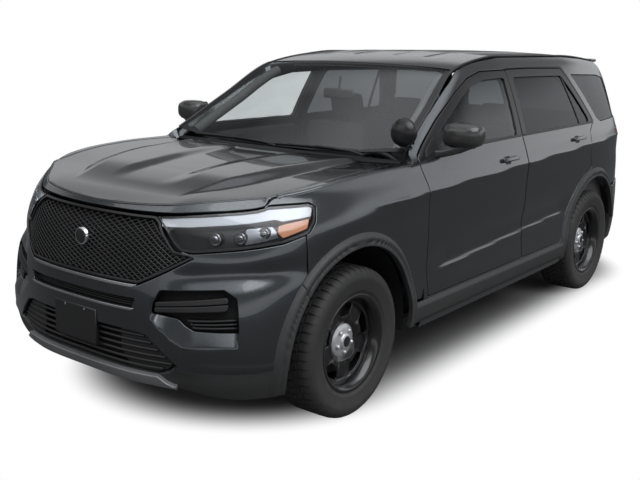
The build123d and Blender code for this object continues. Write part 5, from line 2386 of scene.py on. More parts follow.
@dataclass
class Nose(Part):
    """Front bumper with its grille, slot, intake and pockets."""

    def __post_init__(self) -> None:
        """Read places on the front wrap."""
        self.wrap = self.skin.wrap
        self.uy, self.ux = self.wrap.uy, self.wrap.ux

    def both(self, line: Sequence[Point]) -> list[Point]:
        """Closed outline from the right half's points, from the top middle down to the bottom middle.

        Args:
            line: Points of the right half.

        Returns:
            The closed outline.
        """
        return list(line) + [(-u, v) for u, v in reversed(line) if u > 0]

    def build(self) -> None:
        """Make the pieces."""
        top = [self.uy(378, 748), self.uy(606, 884), (590, 905), (664, 903), (878, 922), (1131, 949),
               (1257, 976)]
        corner = [self.ux(1968, 806)]
        for a in (50, 40, 30, 20, 10, 0, -10, -16):
            corner.append(self.ux(FRONT_AXLE + ARCH_EDGE * math.cos(math.radians(a)),
                                  WHEEL_Z + ARCH_EDGE * math.sin(math.radians(a))))
        low = [self.uy(781, 244), self.uy(480, 276), self.uy(230, 290)]
        line = top + corner + low
        line = line + [(-u, v) for u, v in reversed(line)]
        slot = [self.uy(y, z) for y, z in [(376, 690), (358, 644), (-358, 644), (-376, 690)]]
        half = [(0, 541), (261, 544), (388, 541), (441, 528), (485, 493), (590, 405), (548, 362), (488, 342),
                (0, 342)]
        intake = self.both(half)
        pocket = [(497, 739), (818, 759), (881, 724), (893, 579), (873, 573), (662, 571), (620, 588),
                  (586, 617), (488, 631), (463, 636), (469, 686)]
        pocket_r = [(-u, v) for u, v in pocket]
        dark_low = [(0, 342), (488, 342), (572, 388), (711, 383), (990, 386), (1016, 390),
                    self.ux(2096, 412), self.ux(2060, 200), self.uy(500, 200), self.uy(0, 200)]
        dark_low = dark_low + [(-u, v) for u, v in reversed(dark_low[1:-1])]
        zones = [(dark_low, 1)] + [(pushed(o, 4.0), 2) for o in (slot, intake, pocket, pocket_r)]
        skin_mesh = panel(Raised(self.wrap, self.press), line, [slot, intake, pocket, pocket_r], thick=42.0,
                          step=13.0, fold=5.0, radius=7.0, hole_radius=14.0, zones=zones)
        self.shop.piece("bumper_skin", skin_mesh, [PAINT, CLADDING, SATIN_BLACK], "body", Slot.PAINT,
                        ["front_bumper"])
        self.grille()
        self.openings(slot, intake, pocket)
        self.plate()

    def press(self, u: Array, z: Array) -> Array:
        """Forms pressed into the bumper skin.

        Args:
            u: First number of each place.
            z: Heights.

        Returns:
            Height of the forms, outward.
        """
        p = self.wrap.point(u, z)
        y = np.abs(p[..., 1])
        out = np.zeros(np.shape(u))
        dish = bump((y - 470.0) / 160.0) * bump((1010.0 - y) / 150.0)
        out = out - 16.0 * dish * np.exp(-(((z - 800.0 - (y - 600) * 0.08) / 52.0) ** 2))
        t = np.abs(u)
        high = np.interp(t, [463, 488, 586, 620, 662, 871], [634, 631, 618, 589, 572, 572])
        low = np.interp(t, [463, 567, 612, 870], [600, 518, 498, 508])
        wedge = bump((t - 448.0) / 40.0) * bump((896.0 - t) / 22.0)
        out = out - 30.0 * wedge * np.clip((z - low) / (high - low), 0, 1) * bump((high + 70.0 - z) / 60.0)
        lip = bump((y - 600.0) / 120.0) * np.exp(-(((z - 410.0) / 15.0) ** 2))
        under = 18.0 * bump((392.0 - z) / 60.0) * bump((740.0 - y) / 200.0)
        return out + 5.0 * lip - under * 0.9

    def grille(self) -> None:
        """Frame, lattice and the back of the grille, a near-black sheet of painted shade."""
        line = self.both([self.uy(0, 1050), self.uy(300, 1050), self.uy(398, 1052), self.uy(432, 1032),
                          self.uy(524, 912), self.uy(608, 900), self.uy(604, 886), self.uy(380, 757),
                          self.uy(0, 757)])
        line = [p for i, p in enumerate(line) if i == 0 or p != line[i - 1]]
        face = Raised(self.wrap, -2.0)
        frame = panel(face, line, [pushed(line, -13.0)], thick=34.0, step=14.0, fold=4.0, radius=14.0,
                      hole_radius=12.0)
        # Near-black sheet behind the lattice: painted shade.
        back = panel(Raised(self.wrap, -58.0), pushed(line, 6.0), thick=10.0, step=26.0, fold=2.0,
                     radius=14.0)
        self.shop.piece("grille_frame", frame, [GLOSS_BLACK], "body", Slot.PLASTIC, ["grille"])
        self.shop.piece("grille_back", back, [PAINTED_SHADE_BLACK], "body", Slot.PLASTIC)
        loop = rounded(pushed(line, -9.0), 14.0, 10.0)
        paths = []
        u = np.arange(-760.0, 760.0, 11.0)
        for slope in (0.52, -0.52):
            for c in np.arange(300.0, 1500.0, 21.0):
                z = c + slope * u
                run: list[int] = []
                for i, good in enumerate([*inside(np.stack([u, z], -1), loop), False]):
                    if good:
                        run.append(i)
                        continue
                    if len(run) > 1:
                        ids = np.array(run)
                        bend = 10.0 * np.clip((np.abs(u[ids]) - 250.0) / 200.0, 0, 1)
                        p = self.wrap.point(u[ids], z[ids])
                        paths.append(p - self.wrap.normal(u[ids], z[ids]) * (22.0 - bend)[:, None])
                    run = []
        self.shop.bars("grille_lattice", paths, 3.6, MESH_BLACK, "body", Slot.PLASTIC, 4)
        disc = lathe([(0, 0), (34, 0), (40, -2), (43, -7), (43, -22), (0, -22)], (0, 0, 0), "x", 48,
                     [1, 0, 0, 0, 0, 0])
        p = self.wrap.point(np.array([0.0]), np.array([916.0]))[0]
        self.shop.piece("badge_disc", disc.moved(Matrix.Translation(Vector(p - [1, 0, 0]))),
                        [CHROME, SATIN_BLACK], "body", Slot.PLASTIC)

    def along(self, z: float, y: float, depth: float, count: int = 40) -> Array:
        """Line across the nose at one height, set back by a depth.

        Args:
            z: Heights.
            y: Places across the car.
            depth: Distance behind the surface.
            count: Number of points.

        Returns:
            Points of the line.
        """
        u1 = self.uy(y, z)[0]
        u = np.linspace(-u1, u1, count)
        zz = np.full(count, z)
        return self.wrap.point(u, zz) - self.wrap.normal(u, zz) * depth

    def openings(self, slot: list[Point], intake: list[Point], pocket: list[Point]) -> None:
        """Near-black painted shade inside the lower openings, their bars, and the silver lip and band placed
        as painted highlights.

        Args:
            slot: Outline of the slot.
            intake: Outline of the intake.
            pocket: Outline of the left pocket.
        """
        # Near-black sheets behind the openings: painted shade for the dark inside them.
        backs = [panel(Raised(self.wrap, -44.0), pushed(slot, 24.0), thick=8.0, step=30.0, fold=1.0,
                       radius=8.0),
                 panel(Raised(self.wrap, -66.0), pushed(intake, 36.0), thick=8.0, step=30.0, fold=1.0,
                       radius=8.0)]
        pocket_back = panel(Raised(self.wrap, -62.0), pushed(pocket, 20.0), thick=8.0, step=20.0, fold=1.0,
                            radius=12.0)
        backs += [pocket_back, pocket_back.mirrored()]
        self.shop.piece("nose_voids", joined(backs), [PAINTED_SHADE_BLACK], "body", Slot.PLASTIC)
        # Lip and band: silver strips placed as painted highlights on the ledge edges; being metal, they also
        # reflect.
        lip = panel(Raised(self.wrap, 3.0), [self.uy(372, 646), self.uy(358, 634), self.uy(-358, 634),
                                             self.uy(-372, 646)], thick=12.0, step=14.0, fold=2.5,
                    radius=3.0)
        band = panel(Raised(self.wrap, 2.0), [self.uy(376, 752), self.uy(356, 738), self.uy(-356, 738),
                                              self.uy(-376, 752)], thick=12.0, step=14.0, fold=2.5,
                     radius=3.0)
        self.shop.piece("nose_bright", joined([lip, band]), [PAINTED_HIGHLIGHT_SILVER], "body", Slot.PAINT)
        skid = panel(Raised(self.wrap, 6.0),
                     self.both([(0, 338), (232, 341), (488, 341), (522, 312), (572, 288),
                                                        (552, 282), (431, 286), (318, 284), (104, 286),
                                (0, 286)]),
                     thick=30.0, step=14.0, fold=6.0, radius=8.0)
        self.shop.piece("skid_lip", skid, [SKID], "body", Slot.PLASTIC)
        blank = panel(Raised(self.wrap, -20.0), [(280, 536), (384, 533), (432, 521), (474, 486), (574, 404),
                                                 (540, 374), (486, 356), (330, 356), (280, 430)], thick=14.0,
                      step=18.0, fold=3.0, radius=8.0)
        self.shop.piece("intake_blanks", joined([blank, blank.mirrored()]), [SATIN_BLACK], "body",
                        Slot.PLASTIC)
        bars = [self.along(z, y, 19.0) for z, y in ((372, 500), (402, 545), (432, 520), (462, 486),
                                                    (492, 452), (520, 418))]
        self.shop.bars("intake_bars", bars, 7.0, SATIN_BLACK, "body", Slot.PLASTIC, 6)
        thin = [self.along(z, y, 26.0) for z, y in ((656, 362), (667, 366), (678, 370))]
        self.shop.bars("slot_bars", thin, 2.4, SATIN_BLACK, "body", Slot.PLASTIC, 5)
        parts = []
        for fin, d in (([(472, 686), (827, 729), (838, 716), (834, 702), (472, 664)], -10.0),
                       ([(472, 662), (836, 699), (836, 676), (820, 668), (474, 639)], -8.0),
                       ([(628, 618), (880, 634), (880, 624), (638, 607)], -24.0),
                       ([(642, 602), (882, 616), (882, 606), (652, 592)], -24.0),
                       ([(652, 588), (884, 599), (884, 589), (664, 578)], -24.0)):
            parts.append(panel(Raised(self.wrap, d), fin, thick=30.0, step=14.0, fold=4.5, radius=8.0))
        fins = joined(parts)
        for name, sign in SIDES:
            self.shop.piece("pocket_fins_" + name, fins.on(sign), [SATIN_BLACK], "body", Slot.PLASTIC)

    def plate(self) -> None:
        """Blank plate bracket with its two screws."""
        lo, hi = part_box("plate_bracket")
        x1 = hi.x / MM
        plate = block(x1 - 12, x1 - 1, -152, 152, 436, 602, 4.0)
        tray = block(x1 - 34, x1 - 10, -140, 140, 424, 590, 4.0)
        self.shop.piece("plate_tray", joined([plate, tray]), [SATIN_BLACK], "body", Slot.PLASTIC,
                        ["plate_bracket"])
        screw = lathe([(0, 0), (5, -0.5), (7, -2), (7, -6), (0, -6)], (0, 0, 0), "x", 16)
        places = np.array([[x1 + 0.0, y, 588.0] for y in (-70, 70)])
        self.shop.repeats("plate_screws", screw, places, np.zeros((2, 3)), CHROME, "body", Slot.PLASTIC)


class Tail(Part):
    """Rear bumper with its reflectors."""

    def build(self) -> None:
        """Make the pieces."""
        wrap = RearWrap(self.skin.side)
        end = wrap.u0 + 90.0
        half = [(0, 756), (end - 260, 756), (end - 20, 748), (end, 742)]
        arc = []
        for a in (132, 140, 150, 160, 170, 180, 190):
            x = REAR_AXLE + ARCH_EDGE * math.cos(math.radians(a))
            arc.append((wrap.u0 + (x - wrap.seam), WHEEL_Z + ARCH_EDGE * math.sin(math.radians(a))))
        half += arc + [(wrap.u0, 268), (wrap.u0 * 0.6, 268), (0, 268)]
        line = half + [(-u, v) for u, v in reversed(half[1:-1])]
        dark = [(0, 470), (wrap.u0 * 0.75, 470), (end + 60, 520), (end + 80, 200), (0, 200)]
        dark = dark + [(-u, v) for u, v in reversed(dark[1:-1])]
        mesh = panel(wrap, line, thick=26.0, step=16.0, fold=5.0, radius=8.0, zones=[(dark, 1)])
        self.shop.piece("rear_bumper_skin", mesh, [PAINT, CLADDING], "body", Slot.PAINT, ["rear_bumper"])
        red = panel(Raised(wrap, 1.5), [(520, 430), (700, 430), (700, 400), (520, 400)], thick=10.0,
                    step=20.0, fold=2.0, radius=8.0)
        self.shop.piece("reflectors", joined([red, red.mirrored()]), [RED], "body", Slot.RED)


class RearWrap(WrapSurface):
    """Back of the car from its middle round to the side, read like the front wrap."""

    sign = -1.0
    u0 = 1080.0
    seam = -2010.0
    way = 1.0
    knots = (0.0, 0.33, 0.58, 0.76, 1.0)
    first = (0.0, 1.1)
    top = 900.0

    def outlines(self, z: Array) -> Array:
        """Knots of the back at each height.

        Args:
            z: Heights.

        Returns:
            Four points for each height.
        """
        s = np.interp(z, [230, 330, 470, 620, 760], [0, 46, 70, 66, 40]) - 70.0
        rows = ((-2522, 1.0, 0), (-2505, 1.0, 380), (-2444, 0.9, 640), (-2320, 0.7, 812))
        return np.stack([np.stack([x - s * share, np.full(len(z), float(y))], axis=-1) for x, share,
                         y in rows], axis=1)

    def point(self, u: Array, v: Array) -> Array:
        """Place on the wrap at length u and height v.

        Args:
            u: First number of each place.
            v: Second number of each place.

        Returns:
            Places in millimetres.
        """
        u = np.asarray(u, float)
        v = np.asarray(v, float)
        rear = self.grid.at(np.clip(np.abs(u), 0.0, self.u0), v)
        side = self.side.point(self.seam + (np.abs(u) - self.u0), v)
        out = np.where((np.abs(u) > self.u0)[..., None], side, rear)
        out = out * np.where(u < 0, -1.0, 1.0)[..., None] ** np.array([0, 1, 0])
        out[..., 2] = v
        return out


class RimFace(Surface):
    """Front face of the rim's disc, read by x and z."""

    sign = -1.0
    radii = (0, 60, 76, 92, 112, 150, 178, 196, 208, 216)
    depths = (34, 34, 36, 44, 56, 60, 58, 52, 56, 64)

    def point(self, u: Array, v: Array) -> Array:
        """Place on the face.

        Args:
            u: Distance forward of the axle.
            v: Height over the axle.

        Returns:
            Places in millimetres.
        """
        u = np.asarray(u, float)
        v = np.asarray(v, float)
        r = np.hypot(u, v)
        y = np.interp(r, self.radii, self.depths)
        d = np.abs((np.degrees(np.arctan2(v, u)) - 90.0) % 72.0 - 36.0)
        near = bump((26.0 - d) / 12.0) * bump((r - 100.0) / 26.0) * bump((214.0 - r) / 20.0)
        return stacked(u, y - 9.0 * near, v)


@dataclass
class Wheel:
    """One wheel with its tyre, steel rim, cap and brake.

    Attributes:
        shop: Where its pieces are made.
        corner: Name of its corner.
        x: Place of its axle along the car.
        sign: 1 on the left and -1 on the right.
    """

    shop: Workshop
    corner: str
    x: float
    sign: int

    def build(self) -> None:
        """Make the pieces."""
        body = "wheel_" + self.corner
        here = Matrix.Translation(Vector((self.x, self.sign * WHEEL_Y, WHEEL_Z)))
        if self.sign < 0:
            here = here @ Matrix.Rotation(math.pi, 4, "Z")
        self.shop.piece("tyre_wall_" + self.corner, self.tyre().moved(here), [RUBBER], body, Slot.TYRE,
                        ["tyre_" + self.corner], 50.0)
        self.tread(body, here)
        self.shop.piece("rim_" + self.corner + "_disc", self.disc().moved(here), [WHEEL], body, Slot.WHEEL,
                        ["rim_" + self.corner], 32.0)
        self.shop.piece("hub_cap_" + self.corner, self.cap().moved(here), [CAP, SATIN_BLACK], body,
                        Slot.WHEEL)
        self.shop.piece("brake_" + self.corner, self.brake().moved(here), [STEEL], body, Slot.CAST)

    @staticmethod
    def tyre() -> Mesh:
        """Tyre carcass.

        Returns:
            Its mesh.
        """
        prof = [(231, 104), (240, 108), (252, 110), (262, 114), (264, 116), (268, 116.5), (300, 124),
                (322, 126.5), (326, 127), (340, 125), (352, 121), (362, 114), (369, 104), (371.5, 90),
                (372.5, 60)]
        prof += [(372.8, 20), (372.8, -20)] + [(r, -h) for r, h in reversed(prof)]
        return lathe(prof, (0, 0, 0), "y", 96)

    def tread(self, body: str, here: Matrix) -> None:
        """Tread blocks and shoulder ribs, laid out round the tyre.

        Args:
            body: Body that the piece rides on.
            here: Where the wheel stands.
        """
        count = 54
        pitch = 2 * math.pi / count
        rows = ((0.0, 28.0, 372.0, 379.6), (42.0, 24.0, 371.6, 379.2), (-42.0, 24.0, 371.6, 379.2))
        for k, (h, width, r0, r1) in enumerate(rows):
            unit = self.pad(width, r0, r1, pitch * 0.80, 3.0 if k else 5.0)
            self.lay(unit, f"tread_{self.corner}_{k}", count, 0.5 * k, body, here, h)
        for side in (1, -1):
            pts = [(374, 62), (379.0, 64), (378.0, 84), (374.5, 99), (368, 110), (360, 117.6), (352, 122.6),
                   (350, 118), (360, 110), (367, 99), (369, 84)]
            half = pitch * 0.40
            verts = []
            for a in (-half, half):
                for r, h in pts:
                    verts.append((r * math.cos(a), h * side, r * math.sin(a)))
            name = f"shoulder_{self.corner}_{'out' if side > 0 else 'in'}"
            self.lay(rings(verts, len(pts)), name, count, 0.25, body, here, 0.0)

    @staticmethod
    def pad(width: float, r0: float, r1: float, arc: float, skew: float) -> Mesh:
        """One tread block at the top of the x axis.

        Args:
            width: Width of the block.
            r0: Inner radius.
            r1: Outer radius.
            arc: Angle that it spans.
            skew: Slant along the axle.

        Returns:
            Its mesh.
        """
        verts = []
        a = arc / 2
        for r in (r0, r1):
            grow = 1.0 if r == r0 else 0.9
            for s, t in ((-1, -1), (1, -1), (1, 1), (-1, 1)):
                ang = a * s * grow + skew / 380.0 * t
                verts.append((r * math.cos(ang), width / 2 * t * grow, r * math.sin(ang)))
        faces = [(0, 1, 2, 3), (4, 7, 6, 5), (0, 4, 5, 1), (1, 5, 6, 2), (2, 6, 7, 3), (3, 7, 4, 0)]
        return outward(Mesh(np.array(verts), faces, [0] * 6))

    def lay(self, unit: Mesh, name: str, count: int, phase: float, body: str, here: Matrix,
            h: float) -> None:
        """Copies of a unit turned round the axle.

        Args:
            unit: Mesh that is repeated.
            name: Name of the piece.
            count: Number of copies.
            phase: Share of a step that the first copy is turned.
            body: Body that the piece rides on.
            here: Where the wheel stands.
            h: Height over the axle line.
        """
        unit = unit.moved(Matrix.Translation(Vector((0, h, 0))))
        places = np.tile(np.array(here.to_translation()), (count, 1))
        flip = math.pi if self.sign < 0 else 0.0
        turns = np.array([[0.0, 2 * math.pi * (k + phase) / count, flip] for k in range(count)])
        self.shop.repeats(name, unit, places, turns, RUBBER, body, Slot.TYRE, 30.0)

    @staticmethod
    def disc() -> Mesh:
        """Steel rim with five vents in its disc.

        Returns:
            Its mesh.
        """
        prof = [(246, 112), (248, 109), (246, 104), (236, 100), (230, 92), (226, 74), (214, 40), (212, -60),
                (226, -88), (236, -100), (246, -104), (246, -108), (232, -106), (222, -92), (206, -62),
                (206, 34), (206, 60), (214, 86), (222, 98), (232, 108)]
        barrel = lathe(prof, (0, 0, 0), "y", 80)

        outline = [(213 * math.cos(t), 213 * math.sin(t)) for t in np.linspace(0, 2 * math.pi, 73)[:-1]]
        holes = []
        for k in range(5):
            mid = math.radians(90 + 72 * k)
            pts = []
            for a in np.linspace(-21, 21, 7):
                pts.append((194, mid + math.radians(a)))
            for a in np.linspace(15, -15, 5):
                pts.append((134, mid + math.radians(a)))
            holes.append([(r * math.cos(a), r * math.sin(a)) for r, a in pts])
        face = panel(RimFace(), outline, holes, thick=9.0, step=9.0, fold=3.5, radius=2.0, hole_radius=12.0)
        nuts = []
        for k in range(5):
            a = math.radians(54 + 72 * k)
            nuts.append(lathe([(0, 16), (7, 16), (10, 12), (11, 0), (0, 0)],
                              (57 * math.cos(a), 34, 57 * math.sin(a)), "y", 6))
        hub = lathe([(0, -40), (84, -40), (84, 20), (50, 30), (0, 30)], (0, 0, 0), "y", 32)
        return joined([barrel, face, hub, *nuts])

    @staticmethod
    def cap() -> Mesh:
        """Bright centre cap with five bumps over the nuts.

        Returns:
            Its mesh.
        """
        prof = [(0, 68), (27, 68), (35, 66), (40, 61), (43, 53), (62, 50), (78, 46), (87, 39), (87, 33),
                (0, 33)]
        parts = [lathe(prof, (0, 0, 0), "y", 60, [1, 0, 0, 0, 0, 0, 0, 0, 0, 0])]
        for k in range(5):
            a = math.radians(54 + 72 * k)
            parts.append(lathe([(0, 22), (5, 21), (9, 18), (11.5, 12), (13.5, 0), (0, 0)],
                               (57 * math.cos(a), 44, 57 * math.sin(a)), "y", 20))
        return joined(parts)

    @staticmethod
    def brake() -> Mesh:
        """Brake disc behind the rim.

        Returns:
            Its mesh.
        """
        disc = lathe([(70, 2), (168, 2), (168, -10), (70, -10)], (0, 0, 0), "y", 64)
        bell = lathe([(0, 14), (84, 12), (88, 8), (88, -12), (0, -12)], (0, 0, 0), "y", 40)
        return joined([disc, bell])


class Fittings(Part):
    """Door mirrors, spotlight, cowl and wipers."""

    def build(self) -> None:
        """Make the pieces."""
        for name, sign in SIDES:
            self.mirror(name, sign)
        self.spotlight()
        self.cowl()

    def mirror(self, name: str, sign: int) -> None:
        """Door mirror with its foot and glass.

        Args:
            name: Side of the car.
            sign: 1 for the left side, -1 for the right.
        """
        rows = [(926, 0.66, 0.0), (940, 0.88, 0.0), (975, 1.0, 1.0), (1040, 1.0, 1.0), (1092, 0.94, 0.6),
                (1120, 0.78, 0.2), (1132, 0.52, 0.0)]
        verts: list[Array] = []
        n = 28
        for y, scale, _ in rows:
            for k in range(n):
                a = 2 * math.pi * k / n
                ca, sa = math.cos(a), math.sin(a)
                px = np.sign(ca) * abs(ca) ** 0.72
                pz = np.sign(sa) * abs(sa) ** 0.62
                depth = 76.0 if px > 0 else 62.0
                lean = (y - 934) * 0.05
                verts.append(np.array([738 + px * depth * scale - lean, y,
                                       1334 + pz * 69.0 * scale + (0 if pz > 0 else (y - 934) * 0.03)]))
        head = rings(verts, n)
        face = prism([(948, 1282), (1090, 1284), (1112, 1310), (1112, 1366), (1090, 1392), (960, 1394),
                      (944, 1370)],
                     671, 676, "x").material(1)
        body = "door_front_" + name
        parts = [p.on(sign) for p in (head, self.arm(), face)]
        self.shop.piece("mirror_head_" + name, joined([parts[0], parts[1]]), [MIRROR_BLACK], body,
                        Slot.PLASTIC, ["mirror_" + name], 42.0)
        glass = parts[2].material(0)
        self.shop.piece("mirror_glass_" + name, glass, [REFLECTOR], body, Slot.GLASS)
        sail = panel(Raised(self.skin.side, 2.0), [(930, 1222), (905, 1262), (790, 1322), (770, 1262),
                                                   (760, 1232)],
                     thick=10.0, step=14.0, fold=3.0, radius=10.0)
        self.shop.piece("mirror_sail_" + name, sail.on(sign), [SATIN_BLACK], body, Slot.PLASTIC)

    @staticmethod
    def arm() -> Mesh:
        """Foot that carries the mirror's head.

        Returns:
            Its mesh.
        """
        rows = [(908, 770, 836, 1214, 1252), (950, 752, 830, 1218, 1256), (1010, 716, 800, 1238, 1276),
                (1060, 706, 780, 1262, 1290), (1090, 712, 766, 1270, 1290)]
        verts = []
        for y, x0, x1, z0, z1 in rows:
            c = 8.0
            verts += [(x0 + c, y, z0), (x1 - c, y, z0), (x1, y, z0 + c), (x1, y, z1 - c), (x1 - c, y, z1),
                      (x0 + c, y, z1), (x0, y, z1 - c), (x0, y, z0 + c)]
        return rings(verts, 8)

    def spotlight(self) -> None:
        """Pillar spotlight with its chrome stem."""
        cx, cy, cz, r = 1040.0, 835.0, 1358.0, 75.5
        rise = [math.radians(a) for a in range(0, 90, 9)]
        dome = [(r * math.cos(a), 48 * math.sin(a)) for a in rise] + [(0, 48)]
        pod = lathe([(0, -44), (30, -43), (56, -36), (70, -24), (r, -10), *dome], (cx, cy, cz), "x", 48)
        ring = lathe([(r + 0.3, -9), (r + 0.3, -2), (r - 6, -1), (r - 6, -10)], (cx, cy, cz), "x",
                     48).material(1)
        turned = joined([pod, ring])
        self.shop.piece("spot_pod", turned, [GLOSS_BLACK, SATIN_BLACK, SATIN_BLACK], "body", Slot.PLASTIC,
                        ["spotlight"])
        stem = joined([tube([(1000, 836, 1302), (986, 842, 1300), (974, 850, 1296)], 10.0, 12),
                       tube([(1010, 836, 1288), (1010, 836, 1306)], 13.0, 16),
                       tube([(980, 846, 1306), (980, 846, 1345)], [9.0, 12.0], 12),
                       block(966, 992, 838, 862, 1288, 1322, 5.0)])
        self.shop.piece("spot_stem", stem, [CHROME], "body", Slot.PLASTIC)

    def cowl(self) -> None:
        """Black cowl panel at the foot of the windscreen with both wipers."""
        screen = self.skin.screen
        line = [(1062, -830), (1112, -620), (1152, -320), (1164, 0), (1152, 320), (1112, 620), (1062, 830),
                (1020, 830), (1050, 600), (1078, 300), (1086, 0), (1078, -300), (1050, -600), (1020, -830)]

        def height(x: Array, y: Array) -> Array:
            """Height of the cowl.

            Args:
                x: Places along the car.
                y: Places across the car.

            Returns:
                Heights.
            """
            return 1176.0 + (1164.0 - x) * 0.20 + 18.0 * (1 - (np.abs(y) / 900.0) ** 2)

        tray = panel(Sheet(height, (980.0, -880.0), (1200.0, 880.0), 1.0), line, thick=12.0, step=20.0,
                     fold=3.0, radius=10.0)
        self.shop.piece("cowl_tray", tray, [SATIN_BLACK], "body", Slot.PLASTIC, ["cowl"])
        paths = []
        blades = []
        for foot, tip, start in (((1124, 640), (1150, -10), (1116, 600)),
                                 ((1156, 60), (1116, -620), (1150, 10))):
            f = np.array(foot, float)
            s, t = np.array(start, float), np.array(tip, float)
            run = np.array([s + (t - s) * k for k in np.linspace(0, 1, 16)])
            blades.append(screen.point(run[:, 0], run[:, 1]) + [0, 0, 6])
            m = s + (t - s) * 0.45
            arm = np.array([f, f * 0.75 + m * 0.25, f * 0.3 + m * 0.7, m])
            p = screen.point(arm[:, 0], arm[:, 1]) + [0, 0, 10]
            p[0, 2] -= 10
            paths.append(p)
        self.shop.bars("wiper_blades", blades, 5.0, SEAL, "body", Slot.PLASTIC, 6)
        self.shop.bars("wiper_arms", paths, 6.5, SATIN_BLACK, "body", Slot.PLASTIC, 8)


class Cabin(Part):
    """Seats, dashboard, steering wheel, floor and linings."""

    def build(self) -> None:
        """Make the pieces."""
        self.dashboard()
        self.steering()
        self.seats()
        self.linings()

    def dashboard(self) -> None:
        """Dashboard, screen, vents and console."""
        prof = [(1050, 800), (1052, 1105), (960, 1116), (820, 1112), (720, 1088), (662, 1040), (650, 1000),
                (664, 940), (700, 900), (770, 880), (770, 800)]
        top = prism(prof, -732, 732)
        hood = prism([(760, 1100), (700, 1126), (648, 1104), (650, 1080), (760, 1080)], 210, 530)
        console = block(6, 770, -106, 106, 330, 700, 16.0)
        arm = block(10, 300, -98, 98, 700, 792, 18.0)
        screen = block(640, 664, -150, 110, 940, 1100, 6.0)
        self.shop.piece("dash_top", joined([top, hood, console, arm]), [DASH], "body", Slot.PLASTIC,
                        ["dashboard"])
        self.shop.piece("dash_screen", screen, [GLOSS_BLACK], "body", Slot.PLASTIC)
        bars = [np.array([[648.0, y0, z], [646.0, y0 + 130, z]]) for y0 in (-690, -330, 560) for z in
                (1010, 1024, 1038, 1052)]
        self.shop.bars("dash_vents", bars, 3.0, SATIN_BLACK, "body", Slot.PLASTIC, 6)
        mirror = joined([block(470, 492, -120, 120, 1462, 1524, 10.0),
                         tube([(480, 0, 1520), (470, 0, 1600)], 7.0, 10)])
        self.shop.piece("inner_mirror", mirror, [SATIN_BLACK], "body", Slot.PLASTIC)

    def steering(self) -> None:
        """Steering wheel with three spokes."""
        tilt = Matrix.Translation(Vector((520, 370, 1010))) @ Vector((0, 1, 0)).rotation_difference(
            Vector((-0.898, 0, 0.44))).to_matrix().to_4x4()
        round_the_rim = np.linspace(0, 2 * math.pi, 13)[:-1]
        ring = lathe([(170 + 15 * math.cos(a), 13 + 14 * math.sin(a)) for a in round_the_rim],
                     (0, 0, 0), "y", 56)
        hub = lathe([(0, 24), (40, 22), (56, 14), (58, 2), (0, 2)], (0, 0, 0), "y", 36)
        parts = [ring, hub]
        for a in (90, 210, 330):
            s = math.radians(a)
            parts.append(tube([(40 * math.cos(s), 12, 40 * math.sin(s)),
                               (168 * math.cos(s), 13, 168 * math.sin(s))],
                              [13.0, 9.0], 8))
        parts.append(tube([(0, 4, 0), (0, -170, 0)], 26.0, 16))
        self.shop.piece("steering_wheel_rim", joined(parts).moved(tilt), [DASH], "body", Slot.PLASTIC,
                        ["steering_wheel"])

    def cushion(self, name: str, centre: Sequence[float], size: Sequence[float], turn: float,
                rolls: float, slotted: Sequence[str] = ()) -> None:
        """Padded cushion made by inflating and smoothing a sewn box.

        Args:
            name: Name of the piece.
            centre: Middle of the cushion.
            size: Lengths along the three axes.
            turn: Lean in degrees.
            rolls: Number of sewn rolls.
            slotted: CAD nodes that it replaces.
        """
        nx, ny, nz = 12, 12, 5
        lx, ly, lz = (s / 2 for s in size)
        verts: dict[tuple[int, int, int], int] = {}
        pts: list[tuple[float, float, float]] = []
        faces: list[tuple[int, ...]] = []

        def vid(i: int, j: int, k: int) -> int:
            """Number of a point of the box.

            Args:
                i: Step along the first axis.
                j: Step along the second axis.
                k: Step along the third axis.

            Returns:
                The number.
            """
            key = (i, j, k)
            if key not in verts:
                x, y, z = (2 * i / nx - 1), (2 * j / ny - 1), (2 * k / nz - 1)
                rx, ry, rz = abs(x) ** 6, abs(y) ** 6, abs(z) ** 4
                shrink_xy = 1 - 0.07 * rz
                seam = 1.0 - 0.10 * math.exp(-((abs(y) - rolls) / 0.06) ** 2)
                puff = (1 - 0.30 * rx) * (1 - 0.30 * ry)
                side_roll = 1.0 + 0.22 * bump(np.array((abs(y) - rolls) / (1 - rolls + 1e-6)))
                zz = z * lz * puff * (seam * float(side_roll) if z > 0.2 else 1.0)
                verts[key] = len(pts)
                pts.append((x * lx * shrink_xy * (1 - 0.04 * ry), y * ly * shrink_xy * (1 - 0.04 * rx), zz))
            return verts[key]

        def grid(n1: int, n2: int, put: Callable[[int, int], tuple[int, int, int]], flip: bool) -> None:
            """Faces of one side of the box.

            Args:
                n1: Steps one way.
                n2: Steps the other way.
                put: Point for two steps.
                flip: Whether the faces are turned.
            """
            for a in range(n1):
                for b in range(n2):
                    quad = (vid(*put(a, b)), vid(*put(a + 1, b)), vid(*put(a + 1, b + 1)),
                            vid(*put(a, b + 1)))
                    faces.append(tuple(reversed(quad)) if flip else quad)

        grid(nx, ny, lambda a, b: (a, b, nz), False)
        grid(nx, ny, lambda a, b: (a, b, 0), True)
        grid(nx, nz, lambda a, b: (a, 0, b), False)
        grid(nx, nz, lambda a, b: (a, ny, b), True)
        grid(ny, nz, lambda a, b: (nx, a, b), False)
        grid(ny, nz, lambda a, b: (0, a, b), True)
        mesh = outward(Mesh(np.array(pts), faces, [0] * len(faces)))
        m = Matrix.Translation(Vector(centre)) @ Matrix.Rotation(math.radians(turn), 4, "Y")
        obj = self.shop.piece(name, mesh.moved(m), [CLOTH], "body", Slot.CLOTH, slotted, 80.0)
        sub = obj.modifiers.new("Soft", "SUBSURF")
        sub.levels = sub.render_levels = 2

